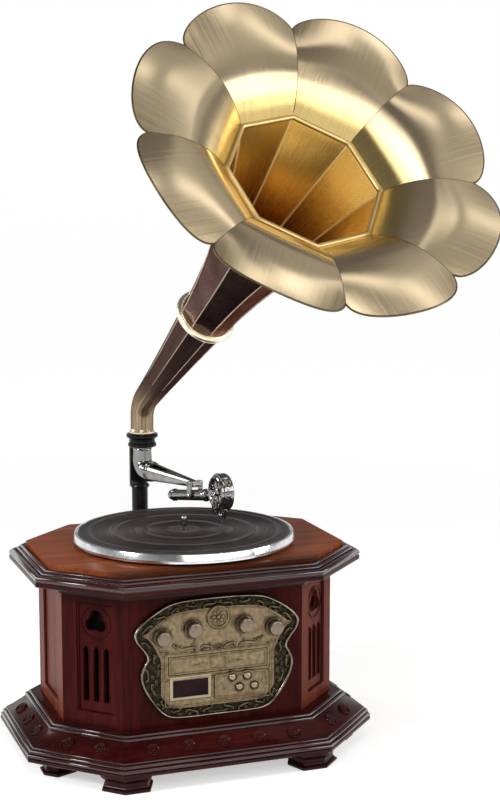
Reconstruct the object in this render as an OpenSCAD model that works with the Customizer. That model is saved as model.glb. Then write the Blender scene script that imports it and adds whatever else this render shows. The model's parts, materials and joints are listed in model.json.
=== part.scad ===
// A table gramophone: an eight-sided wooden cabinet with a turntable on top, a control
// plaque with a disc drawer in front, and a swivelling horn of eight petals carried by a
// bracket behind it. Millimetres, +Z up, front towards -Y. The origin is on the
// turntable's axis, in the plane that the feet stand on.

/* [Cabinet] */
// Half the width of the cabinet's body, to its side faces
body_half_w = 174.5; // [172:0.5:180]
// Leg of the 45 degree cut at each corner of the body
corner_leg = 64.5; // [60:0.5:66]
// Thickness of the body's boards
board_t = 10; // [9:0.5:11]
// Height of the feet
foot_h = 22; // [16:1:28]
// Thickness of the base board
base_t = 12; // [10:0.5:14]
// Height of the body's boards
wall_h = 213; // [212:1:222]
// Thickness of the top board
top_t = 10; // [8:0.5:12]
// Overhang of the plinth beyond the body
plinth_out = 48.5; // [46:0.5:52]
// Overhang of the top moulding beyond the body
cornice_out = 34; // [33:0.5:37]

/* [Turntable] */
// Radius of the platter
platter_r = 140; // [130:1:144]
// Gap from the platter's rim to the front edge of the top board, which sets the cabinet's depth
platter_margin = 1; // [0:0.5:6]
// Height of the platter's rim
platter_h = 11.5; // [10:0.5:14]
// Thickness of the rubber mat
mat_t = 2; // [1.5:0.25:3]
// Diameter of the record spindle
spindle_d = 7.14; // [7:0.02:7.2]
// Height of the spindle above the mat
spindle_h = 16; // [14:1:20]

/* [Front] */
// Thickness of the brass plaque
plaque_t = 4; // [3:0.5:5]
// Radius of the four knobs
knob_r = 9.75; // [8:0.25:11]
// How far a knob stands out
knob_h = 14; // [10:0.5:18]
// Radius of the push buttons
button_r = 4.6; // [4:0.1:4.8]
// Travel of a push button
button_travel = 2; // [1:0.25:2]

/* [Tonearm] */
// Distance of the swivel axis behind the turntable's axis
swivel_y = 187; // [186:0.5:190]
// Angle of the tonearm from straight ahead, towards the right
arm_angle = 16; // [14.5:0.5:18]
// Distance from the swivel axis to the needle's tip
arm_reach = 203.5; // [200:0.5:206]
// Radius of the soundbox
soundbox_r = 24.5; // [22:0.5:26]

/* [Horn] */
// Turn of the horn about its swivel, towards the right
horn_yaw = 14.8; // [0:0.1:25]
// Slope of the horn's axis above the level
horn_elev = 39.5; // [35:0.5:43]
// Turn of the horn about its own axis
horn_roll = -15; // [-22:0.5:22]
// Turn of the bell's mouth against the cone's axis, towards the left
bell_angle = 5.8; // [0:0.2:8]
// Corner radius of the eight-sided crease between cone and petals
crease_r = 99; // [92:1:106]
// Radius to the notches between the petals
notch_r = 201; // [190:0.5:208]
// How far a petal's tip reaches beyond the line through its notches
petal_out = 40; // [28:1:46]
// Thickness of the horn's sheet metal
sheet_t = 1.4; // [1.2:0.1:1.8]

/* [Hidden] */
$fn = 64;
// Reach of a cutter beyond the faces that it passes
past = 1;
// Gap round a piece that slides or turns
run_gap = 0.3;

// The body's half depth
top_out = 14;
body_half_d = platter_r + platter_margin - top_out;

// Levels of the cabinet, upwards
base_z = foot_h;
floor_z = base_z + base_t;
wall_top = floor_z + wall_h;
deck_z = wall_top + top_t;
plinth_h = 40;
plinth_top = base_z + plinth_h;
cornice_drop = 25.5;
cornice_z = wall_top - cornice_drop;

// Levels and sizes of the turntable
platter_lift = 3;
platter_z = deck_z + platter_lift;
rim_z = platter_z + platter_h;
plate_t = 4;
mat_proud = 0.5;
mat_z = rim_z + mat_proud;
rim_w = 6;
hub_r = 18;
shaft_r = 5;
shaft_fit = 0.05;
bearing_gap = 0.1;
flange_r = 9;
flange_h = 2;
nut_r = 8;
nut_h = 3;
point_h = 2;
mat_gap = 0.5;
sleeve_r = 9;
sleeve_drop = 32;
sleeve_proud = 0.5;
sleeve_z = wall_top - sleeve_drop;
bearing_flange_r = 25;
bearing_flange_t = 4;
wheel_r = 42;
wheel_h = 8;
wheel_drop = 17;
wheel_z = sleeve_z - wheel_drop;
pulley_r = 6;
pulley_h = 10;
pulley_flange = 2;
pulley_flange_t = 1.5;
motor_x = 75;
motor_r = 17;
motor_h = 35;
motor_shaft_r = 1.5;
shaft_past = 2;
belt_t = 1;
belt_h = 4;

// The control plaque and what it carries; heights are above the floor of the body
front_y = -body_half_d;
panel_in_y = front_y + board_t;
plaque_y = front_y - plaque_t;
half_plaque = [[0, 184.5], [30, 184], [57, 181], [77, 172], [94, 160], [104, 148],
    [102, 136], [93, 124], [89, 115], [93, 107], [97, 95], [94, 80], [85, 63], [73, 47],
    [60, 39], [38, 37], [0, 37]];
plaque_steps = 4;
knob_at = [[-70.7, 141], [-32.3, 148], [32.3, 148], [70.7, 141]];
button_at = [[17, 83], [36, 83], [26, 70], [45, 70]];
knob_gap = 2;
knob_shaft_r = 3;
knob_hole_r = knob_shaft_r + 1;
medallion_at = [0, 159];
medallion_r = 15;
drawer_half_w = 62.3;
drawer_low = 92;
drawer_high = 114;
drawer_gap = 0.5;
drawer_out = 1.5;
display_low = [-61, 60.5];
display_high = [-9, 90];
frame_w = 4;
frame_t = 2.5;
glass_t = 2;
glass_lip = 2;
button_plate_low = [-5, 58];
button_plate_high = [63, 88];
button_plate_t = 4;
button_gap = 0.3;
button_flange = 1;
button_hole_r = button_r + button_flange + 0.6;

// The disc drawer
disc_r = 60.3;
tray_half_w = 61.3;
tray_low = 95;
tray_t = 7;
tray_length = 137;
tray_back_y = panel_in_y + tray_length;
disc_from_back = 86;
disc_y = tray_back_y - disc_from_back;

// The swivel stack on the bracket
collar_r = 21.5;
collar_rise = 91;
collar_z = deck_z + collar_rise;
ledge_h = 6;
collar_h = 18;
pivot_r = 9;
spigot_r = 13;
elbow_r = 15.5;
swivel_gap = 0.2;

// The tonearm, measured along it from the swivel axis
arm_rise = 44;
arm_z = mat_z + arm_rise;
knee_r = 13;
arm_end_r = 4.5;
arm_swell = 0.5;
pin_behind = 75.5;
pin_at = arm_reach - pin_behind;
arm_past_pin = 2;
arm_end = pin_at + arm_past_pin;
pin_drop = 15;
pin_r = 2;
pin_gap = 0.2;
head_slope = 8.9;
head_r = 7.2;
head_back = 52;
head_front = 33;
cheek_in = 7.6;
cheek_t = 2.6;
tip_ahead = 16.5;
soundbox_at = arm_reach - tip_ahead;
soundbox_rise = 13;
soundbox_angle = -10;

// The horn, measured along its axis from the point where that meets the swivel axis
bend_r = 40;
bend = 90 - horn_elev;
meet_rise = 40;
meet_z = collar_z + collar_h + meet_rise;
ring_s = 206;
ring_w = 10;
ring_r = 40;
throat_r = 33;
crease_s = 477;
flare_depth = 56;
flare_ratio = 2.2;
petal_crown = 13.5;
gore_angle = 45;
flat_of = cos(gore_angle / 2);

// Half the length of the front, back and side faces of the octagon grows with its offset
function octagon(out) =
    let (w = body_half_w + out, d = body_half_d + out, leg = corner_leg + out * (2 - sqrt(2)))
    [[leg - w, -d], [w - leg, -d], [w, leg - d], [w, d - leg],
     [w - leg, d], [leg - w, d], [-w, d - leg], [-w, leg - d]];
function side_mid(side, out) = (octagon(out)[side] + octagon(out)[(side + 1) % 8]) / 2;
function arc(centre, r, from, to, steps) =
    [for (i = [0:steps]) let (a = from + (to - from) * i / steps)
        centre + r * [cos(a), sin(a)]];
function joined(lists) = [for (list = lists) for (item = list) item];

// A smooth closed curve through the points, with the given steps between two of them
function curve_point(a, b, c, d, t) = 0.5 * ((2 * b) + (c - a) * t
    + (2 * a - 5 * b + 4 * c - d) * t * t + (3 * b - a - 3 * c + d) * t * t * t);
function smooth(p, steps) = let (n = len(p))
    [for (i = [0:n - 1]) for (k = [0:steps - 1])
        curve_point(p[(i + n - 1) % n], p[i], p[(i + 1) % n], p[(i + 2) % n], k / steps)];
function mirrored(half) = concat(half, [for (i = [len(half) - 2:-1:1]) [-half[i].x, half[i].y]]);

// Faces that close a stack of rings, each with the same number of points
function band(rings, n, first, turned) =
    [for (i = [0:rings - 2]) for (j = [0:n - 1])
        let (a = first + i * n + j, b = first + i * n + (j + 1) % n, c = b + n, d = a + n)
        each turned ? [[a, c, b], [a, d, c]] : [[a, b, c], [a, c, d]]];
function rim(n, outer, inner, turned) =
    [for (j = [0:n - 1])
        let (a = outer + j, b = outer + (j + 1) % n, c = inner + (j + 1) % n, d = inner + j)
        each turned ? [[a, c, b], [a, d, c]] : [[a, b, c], [a, c, d]]];

// A tube between an outer and an inner stack of rings
module sheet_tube(outer, inner) {
    n = len(outer[0]);
    rings = len(outer);
    start = rings * n;
    last = (rings - 1) * n;
    polyhedron(
        points = concat(joined(outer), joined(inner)),
        faces = concat(band(rings, n, 0, true), band(rings, n, start, false),
            rim(n, 0, start, false), rim(n, last, start + last, true)),
        convexity = 6);
}

// A moulding with one profile of [overhang, height] points all round the octagon
module moulding(profile) {
    n = len(profile);
    points = [for (k = [0:7]) for (p = profile) let (v = octagon(p[0])[k]) [v.x, v.y, p[1]]];
    faces = [for (k = [0:7]) for (j = [0:n - 1])
        let (a = k * n + j, b = k * n + (j + 1) % n, c = ((k + 1) % 8) * n + (j + 1) % n,
            d = ((k + 1) % 8) * n + j)
        each [[a, c, b], [a, d, c]]];
    polyhedron(points, faces, convexity = 6);
}

module on_side(side, out) {
    mid = side_mid(side, out);
    translate([mid.x, mid.y, 0]) rotate([0, 0, 45 * side]) children();
}

// A flat shape drawn in X and Z, between two values of Y
module along_y(from, to) {
    translate([0, to, 0]) rotate([90, 0, 0]) linear_extrude(to - from) children();
}

module bar_y(at, r, from, to) {
    translate([at.x, to, at.y]) rotate([90, 0, 0]) cylinder(r = r, h = to - from);
}

module slab(low, high) {
    translate(low) cube(high - low);
}

module rectangle(low, high, grow = 0) {
    translate(low - [grow, grow]) square(high - low + 2 * [grow, grow]);
}

// Feet under the corners of the plinth: a sole, a waist and a flange. Those at the front
// and back stand near the plinth's edge, and those at the sides are smaller and set in.
foot_out = 44;
foot_reach = 33;
side_foot_out = 30;
side_foot_reach = 22;
foot_deep = 26;
sole_h = 5;
waist_h = 9;
// Each layer: from, to, set back from the flange
foot_layers = [[0, sole_h, 2], [sole_h, sole_h + waist_h, 6], [sole_h + waist_h, foot_h, 0]];
module feet() color([0.24, 0.08, 0.08]) for (k = [0:7]) {
    out = k % 4 < 2 ? foot_out : side_foot_out;
    reach = k % 4 < 2 ? foot_reach : side_foot_reach;
    for (layer = foot_layers)
        translate([0, 0, layer[0]]) linear_extrude(layer[1] - layer[0]) intersection() {
            difference() {
                polygon(octagon(out - layer[2]));
                polygon(octagon(out - layer[2] - foot_deep));
            }
            translate(octagon(out - layer[2])[k]) circle(r = reach - layer[2]);
        }
}

module base_board() color([0.45, 0.26, 0.18])
    translate([0, 0, base_z]) linear_extrude(base_t) polygon(octagon(0));

// Two reeds over a fillet, a sloping frieze, and two small reeds against the body
reed_r = 2.5;
small_reed_r = 2.2;
fillet_h = 4.5;
reed_at = [[-2.8, 7], [-5.5, 11.8]];
small_reed_at = [[16.5, -5.2], [12.3, -2.4]];
plinth_step = 8;
frieze_low = [plinth_out - plinth_step, base_z + 15.5];
frieze_high = [18.5, plinth_top - 7.4];
module plinth_moulding() color([0.36, 0.12, 0.12]) moulding(concat(
    [[0, base_z], [plinth_out, base_z], [plinth_out, base_z + fillet_h]],
    joined([for (at = reed_at) arc([plinth_out, base_z] + at, reed_r, -60, 110, 8)]),
    [frieze_low, frieze_high],
    joined([for (at = small_reed_at) arc([0, plinth_top] + at, small_reed_r, -50, 120, 8)]),
    [[plinth_step, plinth_top], [0, plinth_top]]));

// Carved bosses on the frieze, set square to its slope
rosette_r = 8.5;
rosette_t = 2;
rosette_pitch = 44.5;
rosette_counts = [5, 2, 3, 2, 5, 2, 3, 2];
frieze_mid = (frieze_low + frieze_high) / 2;
frieze_slope = atan2(frieze_high.y - frieze_low.y, frieze_low.x - frieze_high.x);
module frieze_rosettes() color([0.33, 0.12, 0.11])
    for (side = [0:7]) for (i = [0:rosette_counts[side] - 1])
        on_side(side, frieze_mid.x)
            translate([(i - (rosette_counts[side] - 1) / 2) * rosette_pitch, 0, frieze_mid.y])
                rotate([frieze_slope, 0, 0]) cylinder(r = rosette_r, h = rosette_t);

// One board of the body, mitred into its neighbours
module wall(side) {
    translate([0, 0, floor_z]) linear_extrude(wall_h) polygon([
        octagon(0)[side], octagon(0)[(side + 1) % 8],
        octagon(-board_t)[(side + 1) % 8], octagon(-board_t)[side]]);
}

module drawer_slot(y0, y1) {
    along_y(y0, y1) rectangle([-drawer_half_w, floor_z + drawer_low],
        [drawer_half_w, floor_z + drawer_high], drawer_gap);
}

module display_hole(y0, y1, lip) {
    along_y(y0, y1) translate([0, floor_z])
        rectangle(display_low, display_high, -frame_w - lip);
}

module control_holes(y0, y1, knob_hole, button_hole) {
    for (at = knob_at) bar_y(at + [0, floor_z], knob_hole, y0, y1);
    for (at = button_at) bar_y(at + [0, floor_z], button_hole, y0, y1);
}

module front_panel() color([0.27, 0.1, 0.1]) difference() {
    wall(0);
    drawer_slot(front_y - past, panel_in_y + past);
    display_hole(front_y - past, panel_in_y + past, 0);
    control_holes(front_y - past, panel_in_y + past, knob_hole_r, button_hole_r);
}

// A pierced window: a trefoil over three lancets, in a sunk field
field_half_w = 25;
field_low = 44;
field_high = 178;
field_deep = 3;
lancet_half_w = 4.2;
lancet_pitch = 14;
lancet_low = 57;
lancet_spring = 118;
trefoil_z = 155;
trefoil_lobe = 8;
trefoil_out = 7.4;
module lancet() {
    translate([-lancet_half_w, floor_z + lancet_low])
        square([2 * lancet_half_w, lancet_spring - lancet_low]);
    intersection_for (s = [-1, 1])
        translate([s * lancet_half_w, floor_z + lancet_spring]) circle(r = 2 * lancet_half_w);
}

module sunk_field(half_w) {
    along_y(-past, field_deep) rectangle([-half_w, floor_z + field_low], [half_w, floor_z + field_high]);
}

module pierced_window() {
    sunk_field(field_half_w);
    along_y(0, board_t + past) {
        for (i = [-1:1]) translate([i * lancet_pitch, 0]) lancet();
        for (a = [90, 210, 330])
            translate([trefoil_out * cos(a), floor_z + trefoil_z + trefoil_out * sin(a)])
                circle(r = trefoil_lobe);
    }
}

module pierced_panel(side) color([0.33, 0.12, 0.11]) difference() {
    wall(side);
    on_side(side, 0) pierced_window();
}
module front_right_panel() pierced_panel(1);
module front_left_panel() pierced_panel(7);
module back_corner(side) color([0.42, 0.2, 0.15]) wall(side);
module back_right_panel() back_corner(3);
module back_left_panel() back_corner(5);

side_field_half_w = 36;
module side_panel(side) color([0.42, 0.2, 0.15]) difference() {
    wall(side);
    on_side(side, 0) sunk_field(side_field_half_w);
}
module right_panel() side_panel(2);
module left_panel() side_panel(6);

inlet_rise = 48;
inlet_in = 35;
inlet_at = [corner_leg + inlet_in - body_half_w, floor_z + inlet_rise];
inlet_half = [9, 7];
inlet_lip = 4;
inlet_lip_t = 2;
inlet_deep = 8;
inlet_bore_r = 4;
module back_panel() color([0.42, 0.2, 0.15]) difference() {
    wall(4);
    along_y(body_half_d - board_t - past, body_half_d + past)
        translate(inlet_at) rectangle(-inlet_half, inlet_half, run_gap);
}

cloth_t = 1.2;
cloth_over = 5;
cloth_in = 4;
module speaker_cloths() color([0.05, 0.05, 0.05]) for (side = [1, 7])
    on_side(side, -board_t) along_y(0, cloth_t)
        rectangle([-field_half_w - cloth_over, floor_z + field_low + cloth_in],
            [field_half_w + cloth_over, floor_z + field_high - cloth_in]);

// A small speaker: flange, cone, basket and magnet turned about its axis
speaker_profile = [[0, 10], [8, 10], [29, 2], [29, 0], [36, 0], [36, 3], [31, 3], [16, 24],
    [16, 26], [22, 26], [22, 40], [0, 40]];
speaker_z = 96;
module speakers() color([0.12, 0.12, 0.13]) for (side = [1, 7])
    on_side(side, -board_t) translate([0, cloth_t, floor_z + speaker_z])
        rotate([-90, 0, 0]) rotate_extrude() polygon(speaker_profile);

// The cornice: a hollow under the edge, a fillet, a bold reed and a small one
hollow_r = 11.5;
hollow_out = 4;
edge_drop = 14;
edge_h = 4;
bold_reed_r = 4.5;
bold_reed_drop = 5;
fine_reed_r = 2.3;
fine_reed_at = [-12.5, 1.6];
bed_out = 3;
bed_h = 6.5;
module top_moulding() color([0.4, 0.14, 0.13]) moulding(concat(
    [[0, cornice_z]], arc([hollow_out, cornice_z + hollow_r], hollow_r, -90, -20, 6),
    [[cornice_out - hollow_out, wall_top - edge_drop], [cornice_out, wall_top - edge_drop + 1],
        [cornice_out, wall_top - edge_drop + 1 + edge_h]],
    arc([cornice_out - bold_reed_r, wall_top - bold_reed_drop], bold_reed_r, -40, 130, 10),
    arc([cornice_out, wall_top] + fine_reed_at, fine_reed_r, -40, 130, 8),
    [[top_out + bed_out, wall_top + bed_h - 1.5], [top_out, wall_top + bed_h], [top_out, wall_top],
        [0, wall_top]]));

module top_board() color([0.58, 0.31, 0.18]) difference() {
    translate([0, 0, wall_top]) linear_extrude(top_t) polygon(octagon(top_out));
    translate([0, 0, wall_top - past]) cylinder(r = sleeve_r + run_gap, h = top_t + 2 * past);
}

module plaque_outline() {
    translate([0, floor_z]) polygon(smooth(mirrored(half_plaque), plaque_steps));
}

module front_plaque() color([0.56, 0.48, 0.32]) difference() {
    along_y(plaque_y, front_y) plaque_outline();
    drawer_slot(plaque_y - past, front_y + past);
    display_hole(plaque_y - past, front_y + past, glass_lip);
    control_holes(plaque_y - past, front_y + past, knob_hole_r, button_hole_r);
}

medallion_profile = [[0, 0], [15, 0], [15, 1.5], [13.5, 2.5], [11, 2], [0, 3.5]];
module medallion() color([0.62, 0.54, 0.36])
    translate([medallion_at.x, plaque_y, floor_z + medallion_at.y])
        rotate([90, 0, 0]) rotate_extrude() scale(medallion_r / 15) polygon(medallion_profile);

module display_frame() color([0.8, 0.75, 0.62])
    along_y(plaque_y - frame_t, plaque_y) translate([0, floor_z]) difference() {
        rectangle(display_low, display_high);
        rectangle(display_low, display_high, -frame_w);
    }

module display_window() color([0.12, 0.04, 0.05])
    along_y(plaque_y - glass_t, plaque_y) translate([0, floor_z])
        rectangle(display_low, display_high, -frame_w);

module button_plate() color([0.6, 0.53, 0.38]) difference() {
    along_y(plaque_y - button_plate_t, plaque_y) translate([0, floor_z])
        rectangle(button_plate_low, button_plate_high);
    for (at = button_at)
        bar_y(at + [0, floor_z], button_r + button_gap, plaque_y - button_plate_t - past, plaque_y + past);
}

// A push button with a flange that keeps it behind its plate, reaching to its switch
button_out = 3;
flange_gap = 0.1;
flange_t = 1.3;
module button(i) color([0.85, 0.82, 0.74]) {
    at = button_at[i] + [0, floor_z];
    bar_y(at, button_r, plaque_y - button_plate_t - button_out, switch_y - button_travel - flange_gap);
    bar_y(at, button_r + button_flange, plaque_y + flange_gap, plaque_y + flange_gap + flange_t);
}
module button_1() button(0);
module button_2() button(1);
module button_3() button(2);
module button_4() button(3);

knob_end_y = panel_in_y + 6;
module knob(i) color([0.66, 0.57, 0.4]) {
    at = knob_at[i] + [0, floor_z];
    bar_y(at, knob_r, plaque_y - knob_gap - knob_h, plaque_y - knob_gap);
    bar_y(at, knob_shaft_r, plaque_y - knob_gap - past, knob_end_y);
}
module knob_1() knob(0);
module knob_2() knob(1);
module knob_3() knob(2);
module knob_4() knob(3);

// The board behind the front: rotary controls, switches and the display, round the drawer
board_y = panel_in_y + 11;
circuit_t = 1.6;
circuit_half_w = 85;
circuit_low = 58;
circuit_high = 160;
control_r = 8;
switch_r = 3;
switch_y = board_y - 6;
display_in = 1;
module control_board() color([0.1, 0.3, 0.16]) difference() {
    union() {
        along_y(board_y, board_y + circuit_t)
            rectangle([-circuit_half_w, floor_z + circuit_low], [circuit_half_w, floor_z + circuit_high]);
        for (at = knob_at) bar_y(at + [0, floor_z], control_r, panel_in_y, board_y);
        for (at = button_at) bar_y(at + [0, floor_z], switch_r, switch_y, board_y);
        along_y(front_y + display_in, board_y) translate([0, floor_z])
            rectangle(display_low, display_high, -frame_w - display_in);
    }
    along_y(board_y - past, board_y + circuit_t + past)
        rectangle([-deck_half_w, floor_z + deck_low], [deck_half_w, floor_z + rail_high], board_gap);
    for (at = knob_at)
        bar_y(at + [0, floor_z], knob_shaft_r + run_gap, panel_in_y - past, knob_end_y + past);
}

// The amplifier board on four stand-offs in front of the back board
main_half_w = 50;
main_d = 70;
main_high_y = body_half_d - board_t - 22;
stand_off_h = 8;
stand_off_r = 3;
stand_off_in = 5;
main_z = floor_z + stand_off_h;
sink_half_w = 40;
sink_t = 8;
sink_h = 30;
sink_in = 17;
can_r = 8;
can_h = 22;
can_in = 47;
can_pitch = 30;
module main_board() color([0.1, 0.28, 0.2]) {
    slab([-main_half_w, main_high_y - main_d, main_z], [main_half_w, main_high_y, main_z + circuit_t]);
    for (x = [-1, 1] * (main_half_w - stand_off_in))
        for (y = [main_high_y - main_d + stand_off_in, main_high_y - stand_off_in])
            translate([x, y, floor_z]) cylinder(r = stand_off_r, h = stand_off_h);
    slab([-sink_half_w, main_high_y - sink_in - sink_t, main_z + circuit_t],
        [sink_half_w, main_high_y - sink_in, main_z + sink_h]);
    for (i = [-1:1])
        translate([i * can_pitch, main_high_y - can_in, main_z + circuit_t])
            cylinder(r = can_r, h = can_h);
}

module power_inlet() color([0.06, 0.06, 0.06]) difference() {
    union() {
        along_y(body_half_d, body_half_d + inlet_lip_t)
            translate(inlet_at) rectangle(-inlet_half, inlet_half, inlet_lip);
        along_y(body_half_d - board_t - inlet_deep, body_half_d)
            translate(inlet_at) rectangle(-inlet_half, inlet_half);
    }
    bar_y(inlet_at, inlet_bore_r, body_half_d - board_t, body_half_d + inlet_lip_t + past);
}

module drawer_front() color([0.6, 0.52, 0.36])
    along_y(plaque_y - drawer_out, front_y) rectangle([-drawer_half_w, floor_z + drawer_low],
        [drawer_half_w, floor_z + drawer_high]);

// The tray has a round well for a disc, and a slot that lets the hub pass
well_deep = 2;
hub_slot = 20;
hub_slot_ahead = 24;
module disc_tray() color([0.1, 0.1, 0.11]) difference() {
    slab([-tray_half_w, front_y, floor_z + tray_low],
        [tray_half_w, tray_back_y, floor_z + tray_low + tray_t]);
    translate([0, disc_y, floor_z + tray_low + tray_t - well_deep])
        cylinder(r = disc_r, h = well_deep + past);
    slab([-hub_slot, disc_y - hub_slot_ahead, floor_z + tray_low - past],
        [hub_slot, tray_back_y + past, floor_z + tray_low + tray_t + past]);
}

// The fixed deck: a floor, two rails, a back wall, a bridge, the disc's hub and four legs
rail_t = 5.2;
deck_half_w = tray_half_w + drawer_gap + rail_t;
deck_low = 86;
deck_floor_t = 4;
rail_high = 112;
board_gap = 2;
tray_stop = 6;
back_wall_t = 10;
bridge_half_d = 15;
bridge_t = 4;
hub_base_r = 13;
hub_base_h = 6;
hub_top_r = 7.4;
hub_below = 1;
leg_r = 4;
leg_in = 9;
front_leg = 25;
module tray_deck() color([0.3, 0.31, 0.33]) translate([0, 0, floor_z]) {
    deck_back = tray_back_y + tray_stop + back_wall_t;
    slab([-deck_half_w, board_y, deck_low], [deck_half_w, deck_back, deck_low + deck_floor_t]);
    for (s = [0, 1]) mirror([s, 0, 0])
        slab([tray_half_w + drawer_gap, board_y, deck_low], [deck_half_w, deck_back, rail_high]);
    slab([-deck_half_w, tray_back_y + tray_stop, deck_low], [deck_half_w, deck_back, rail_high]);
    slab([-deck_half_w, disc_y - bridge_half_d, rail_high],
        [deck_half_w, disc_y + bridge_half_d, rail_high + bridge_t]);
    translate([0, disc_y, deck_low]) cylinder(r = hub_base_r, h = hub_base_h);
    translate([0, disc_y, deck_low]) cylinder(r = hub_top_r, h = tray_low + tray_t - deck_low - hub_below);
    for (x = [-1, 1] * (deck_half_w - leg_in), y = [panel_in_y + front_leg, tray_back_y])
        translate([x, y, 0]) cylinder(r = leg_r, h = deck_low + past);
}

module motor() color([0.62, 0.63, 0.65]) {
    translate([motor_x, 0, wall_top - motor_h]) cylinder(r = motor_r, h = motor_h);
    translate([motor_x, 0, wheel_z - shaft_past])
        cylinder(r = motor_shaft_r, h = wall_top - motor_h - wheel_z + shaft_past + past);
}

module motor_pulley() color([0.8, 0.68, 0.4])
    translate([motor_x, 0, wheel_z - (pulley_h - wheel_h) / 2]) difference() {
        union() {
            cylinder(r = pulley_r, h = pulley_h);
            for (z = [0, pulley_h - pulley_flange_t])
                translate([0, 0, z]) cylinder(r = pulley_r + pulley_flange, h = pulley_flange_t);
        }
        translate([0, 0, -past]) cylinder(r = motor_shaft_r + bearing_gap, h = pulley_h + 2 * past);
    }

// The outline of a belt round two wheels, grown by its distance from them
module belt_outline(grow) {
    big = wheel_r + grow;
    small = pulley_r + grow;
    lean = acos((big - small) / motor_x);
    polygon(concat(arc([0, 0], big, lean, 360 - lean, 72),
        arc([motor_x, 0], small, -lean, lean, 24)));
}

module drive_belt() color([0.07, 0.07, 0.07])
    translate([0, 0, wheel_z + (wheel_h - belt_h) / 2]) linear_extrude(belt_h) difference() {
        belt_outline(bearing_gap + belt_t);
        belt_outline(bearing_gap);
    }

module drive_wheel() color([0.75, 0.75, 0.72])
    translate([0, 0, wheel_z]) difference() {
        cylinder(r = wheel_r, h = wheel_h, $fn = 96);
        translate([0, 0, -past]) cylinder(r = shaft_r + shaft_fit, h = wheel_h + 2 * past);
    }

module platter_bearing() color([0.72, 0.6, 0.36]) difference() {
    union() {
        translate([0, 0, sleeve_z]) cylinder(r = sleeve_r, h = deck_z + sleeve_proud - sleeve_z);
        translate([0, 0, wall_top - bearing_flange_t]) cylinder(r = bearing_flange_r, h = bearing_flange_t);
    }
    translate([0, 0, sleeve_z - past])
        cylinder(r = shaft_r + bearing_gap, h = deck_z - sleeve_z + 3 * past);
}

// The spindle: the record pin, the shaft, a flange under the platter and one under the wheel
module spindle() color([0.86, 0.86, 0.87]) {
    translate([0, 0, wheel_z]) cylinder(r = shaft_r, h = mat_z - wheel_z);
    translate([0, 0, platter_z - flange_h]) cylinder(r = flange_r, h = flange_h);
    translate([0, 0, wheel_z - nut_h]) cylinder(r = nut_r, h = nut_h);
    translate([0, 0, mat_z]) cylinder(d = spindle_d, h = spindle_h);
    translate([0, 0, mat_z + spindle_h]) cylinder(d1 = spindle_d, d2 = spindle_d / 2, h = point_h);
}

module platter() color([0.83, 0.84, 0.86]) rotate_extrude($fn = 128) polygon([
    [shaft_r + shaft_fit, platter_z], [hub_r, platter_z], [hub_r, mat_z - mat_t - plate_t],
    [platter_r - rim_w, mat_z - mat_t - plate_t], [platter_r - rim_w, platter_z],
    [platter_r, platter_z], [platter_r, rim_z], [platter_r - rim_w, rim_z],
    [platter_r - rim_w, mat_z - mat_t], [shaft_r + shaft_fit, mat_z - mat_t]]);

module platter_mat() color([0.27, 0.25, 0.24])
    translate([0, 0, mat_z - mat_t]) difference() {
        cylinder(r = platter_r - rim_w - mat_gap, h = mat_t, $fn = 128);
        translate([0, 0, -past]) cylinder(r = shaft_r + run_gap, h = mat_t + 2 * past);
    }

// The casting behind the cabinet: a plate, a bent arm, a post, a strap and the collar
post_r = 11;
post_back = 14;
post_y = swivel_y + post_back;
post_gap = 6;
strap_gap = 3.5;
strap_in = swivel_y + knee_r + strap_gap;
strap_t = 8;
strap_low = 16;
bracket_rise = 106;
bracket_z = floor_z + bracket_rise;
bracket_half = [32, 45];
bracket_t = 6;
bracket_arm = 10;
bracket_bend = post_y - body_half_d - bracket_t - bracket_arm;
screw_in = 8;
screw_half = bracket_half - [screw_in, screw_in];
screw_at = [for (x = [-1, 1], z = [-1, 1]) [x * screw_half.x, bracket_z + z * screw_half.y]];
screw_r = 2.5;
screw_head_r = 5;
screw_head_h = 2.5;
module horn_bracket() color([0.06, 0.06, 0.06]) difference() {
    plate_y = body_half_d + bracket_t;
    union() {
        along_y(body_half_d, plate_y)
            rectangle([-bracket_half.x, bracket_z - bracket_half.y],
                [bracket_half.x, bracket_z + bracket_half.y]);
        bar_y([0, bracket_z], post_r, plate_y - past, plate_y + bracket_arm);
        translate([0, plate_y + bracket_arm, bracket_z + bracket_bend]) rotate([0, 90, 0])
            rotate_extrude(angle = 90) translate([bracket_bend, 0]) circle(r = post_r);
        translate([0, post_y, bracket_z + bracket_bend])
            cylinder(r = post_r, h = arm_z - knee_r - post_gap - bracket_z - bracket_bend);
        slab([-knee_r, strap_in, arm_z - knee_r - strap_low],
            [knee_r, strap_in + strap_t, collar_z + collar_h]);
        translate([0, swivel_y, collar_z]) cylinder(r = collar_r, h = collar_h);
    }
    translate([0, swivel_y, collar_z - past]) cylinder(r = pivot_r + run_gap, h = collar_h + 2 * past);
    translate([0, swivel_y, collar_z + ledge_h])
        cylinder(r = spigot_r + run_gap, h = collar_h - ledge_h + past);
    for (at = screw_at) bar_y(at, screw_r + run_gap, body_half_d - past, plate_y + past);
}

module bracket_screws() color([0.75, 0.75, 0.73]) for (at = screw_at)
    translate([at.x, body_half_d + bracket_t, at.y]) rotate([-90, 0, 0]) {
        cylinder(r1 = screw_head_r, r2 = screw_head_r - 1.5, h = screw_head_h);
        translate([0, 0, -bracket_t]) cylinder(r = screw_r, h = bracket_t);
    }

// Places a piece of the tonearm: -Y runs along the arm, away from the swivel
module on_arm() {
    translate([0, swivel_y, 0]) rotate([0, 0, arm_angle]) children();
}

// A round bar along the arm, from one distance to another, tapering
module arm_bar(from, z, length, r1, r2, slope = 0) {
    translate([0, -from, z]) rotate([90 - slope, 0, 0]) cylinder(r1 = r1, r2 = r2, h = length);
}

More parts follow.
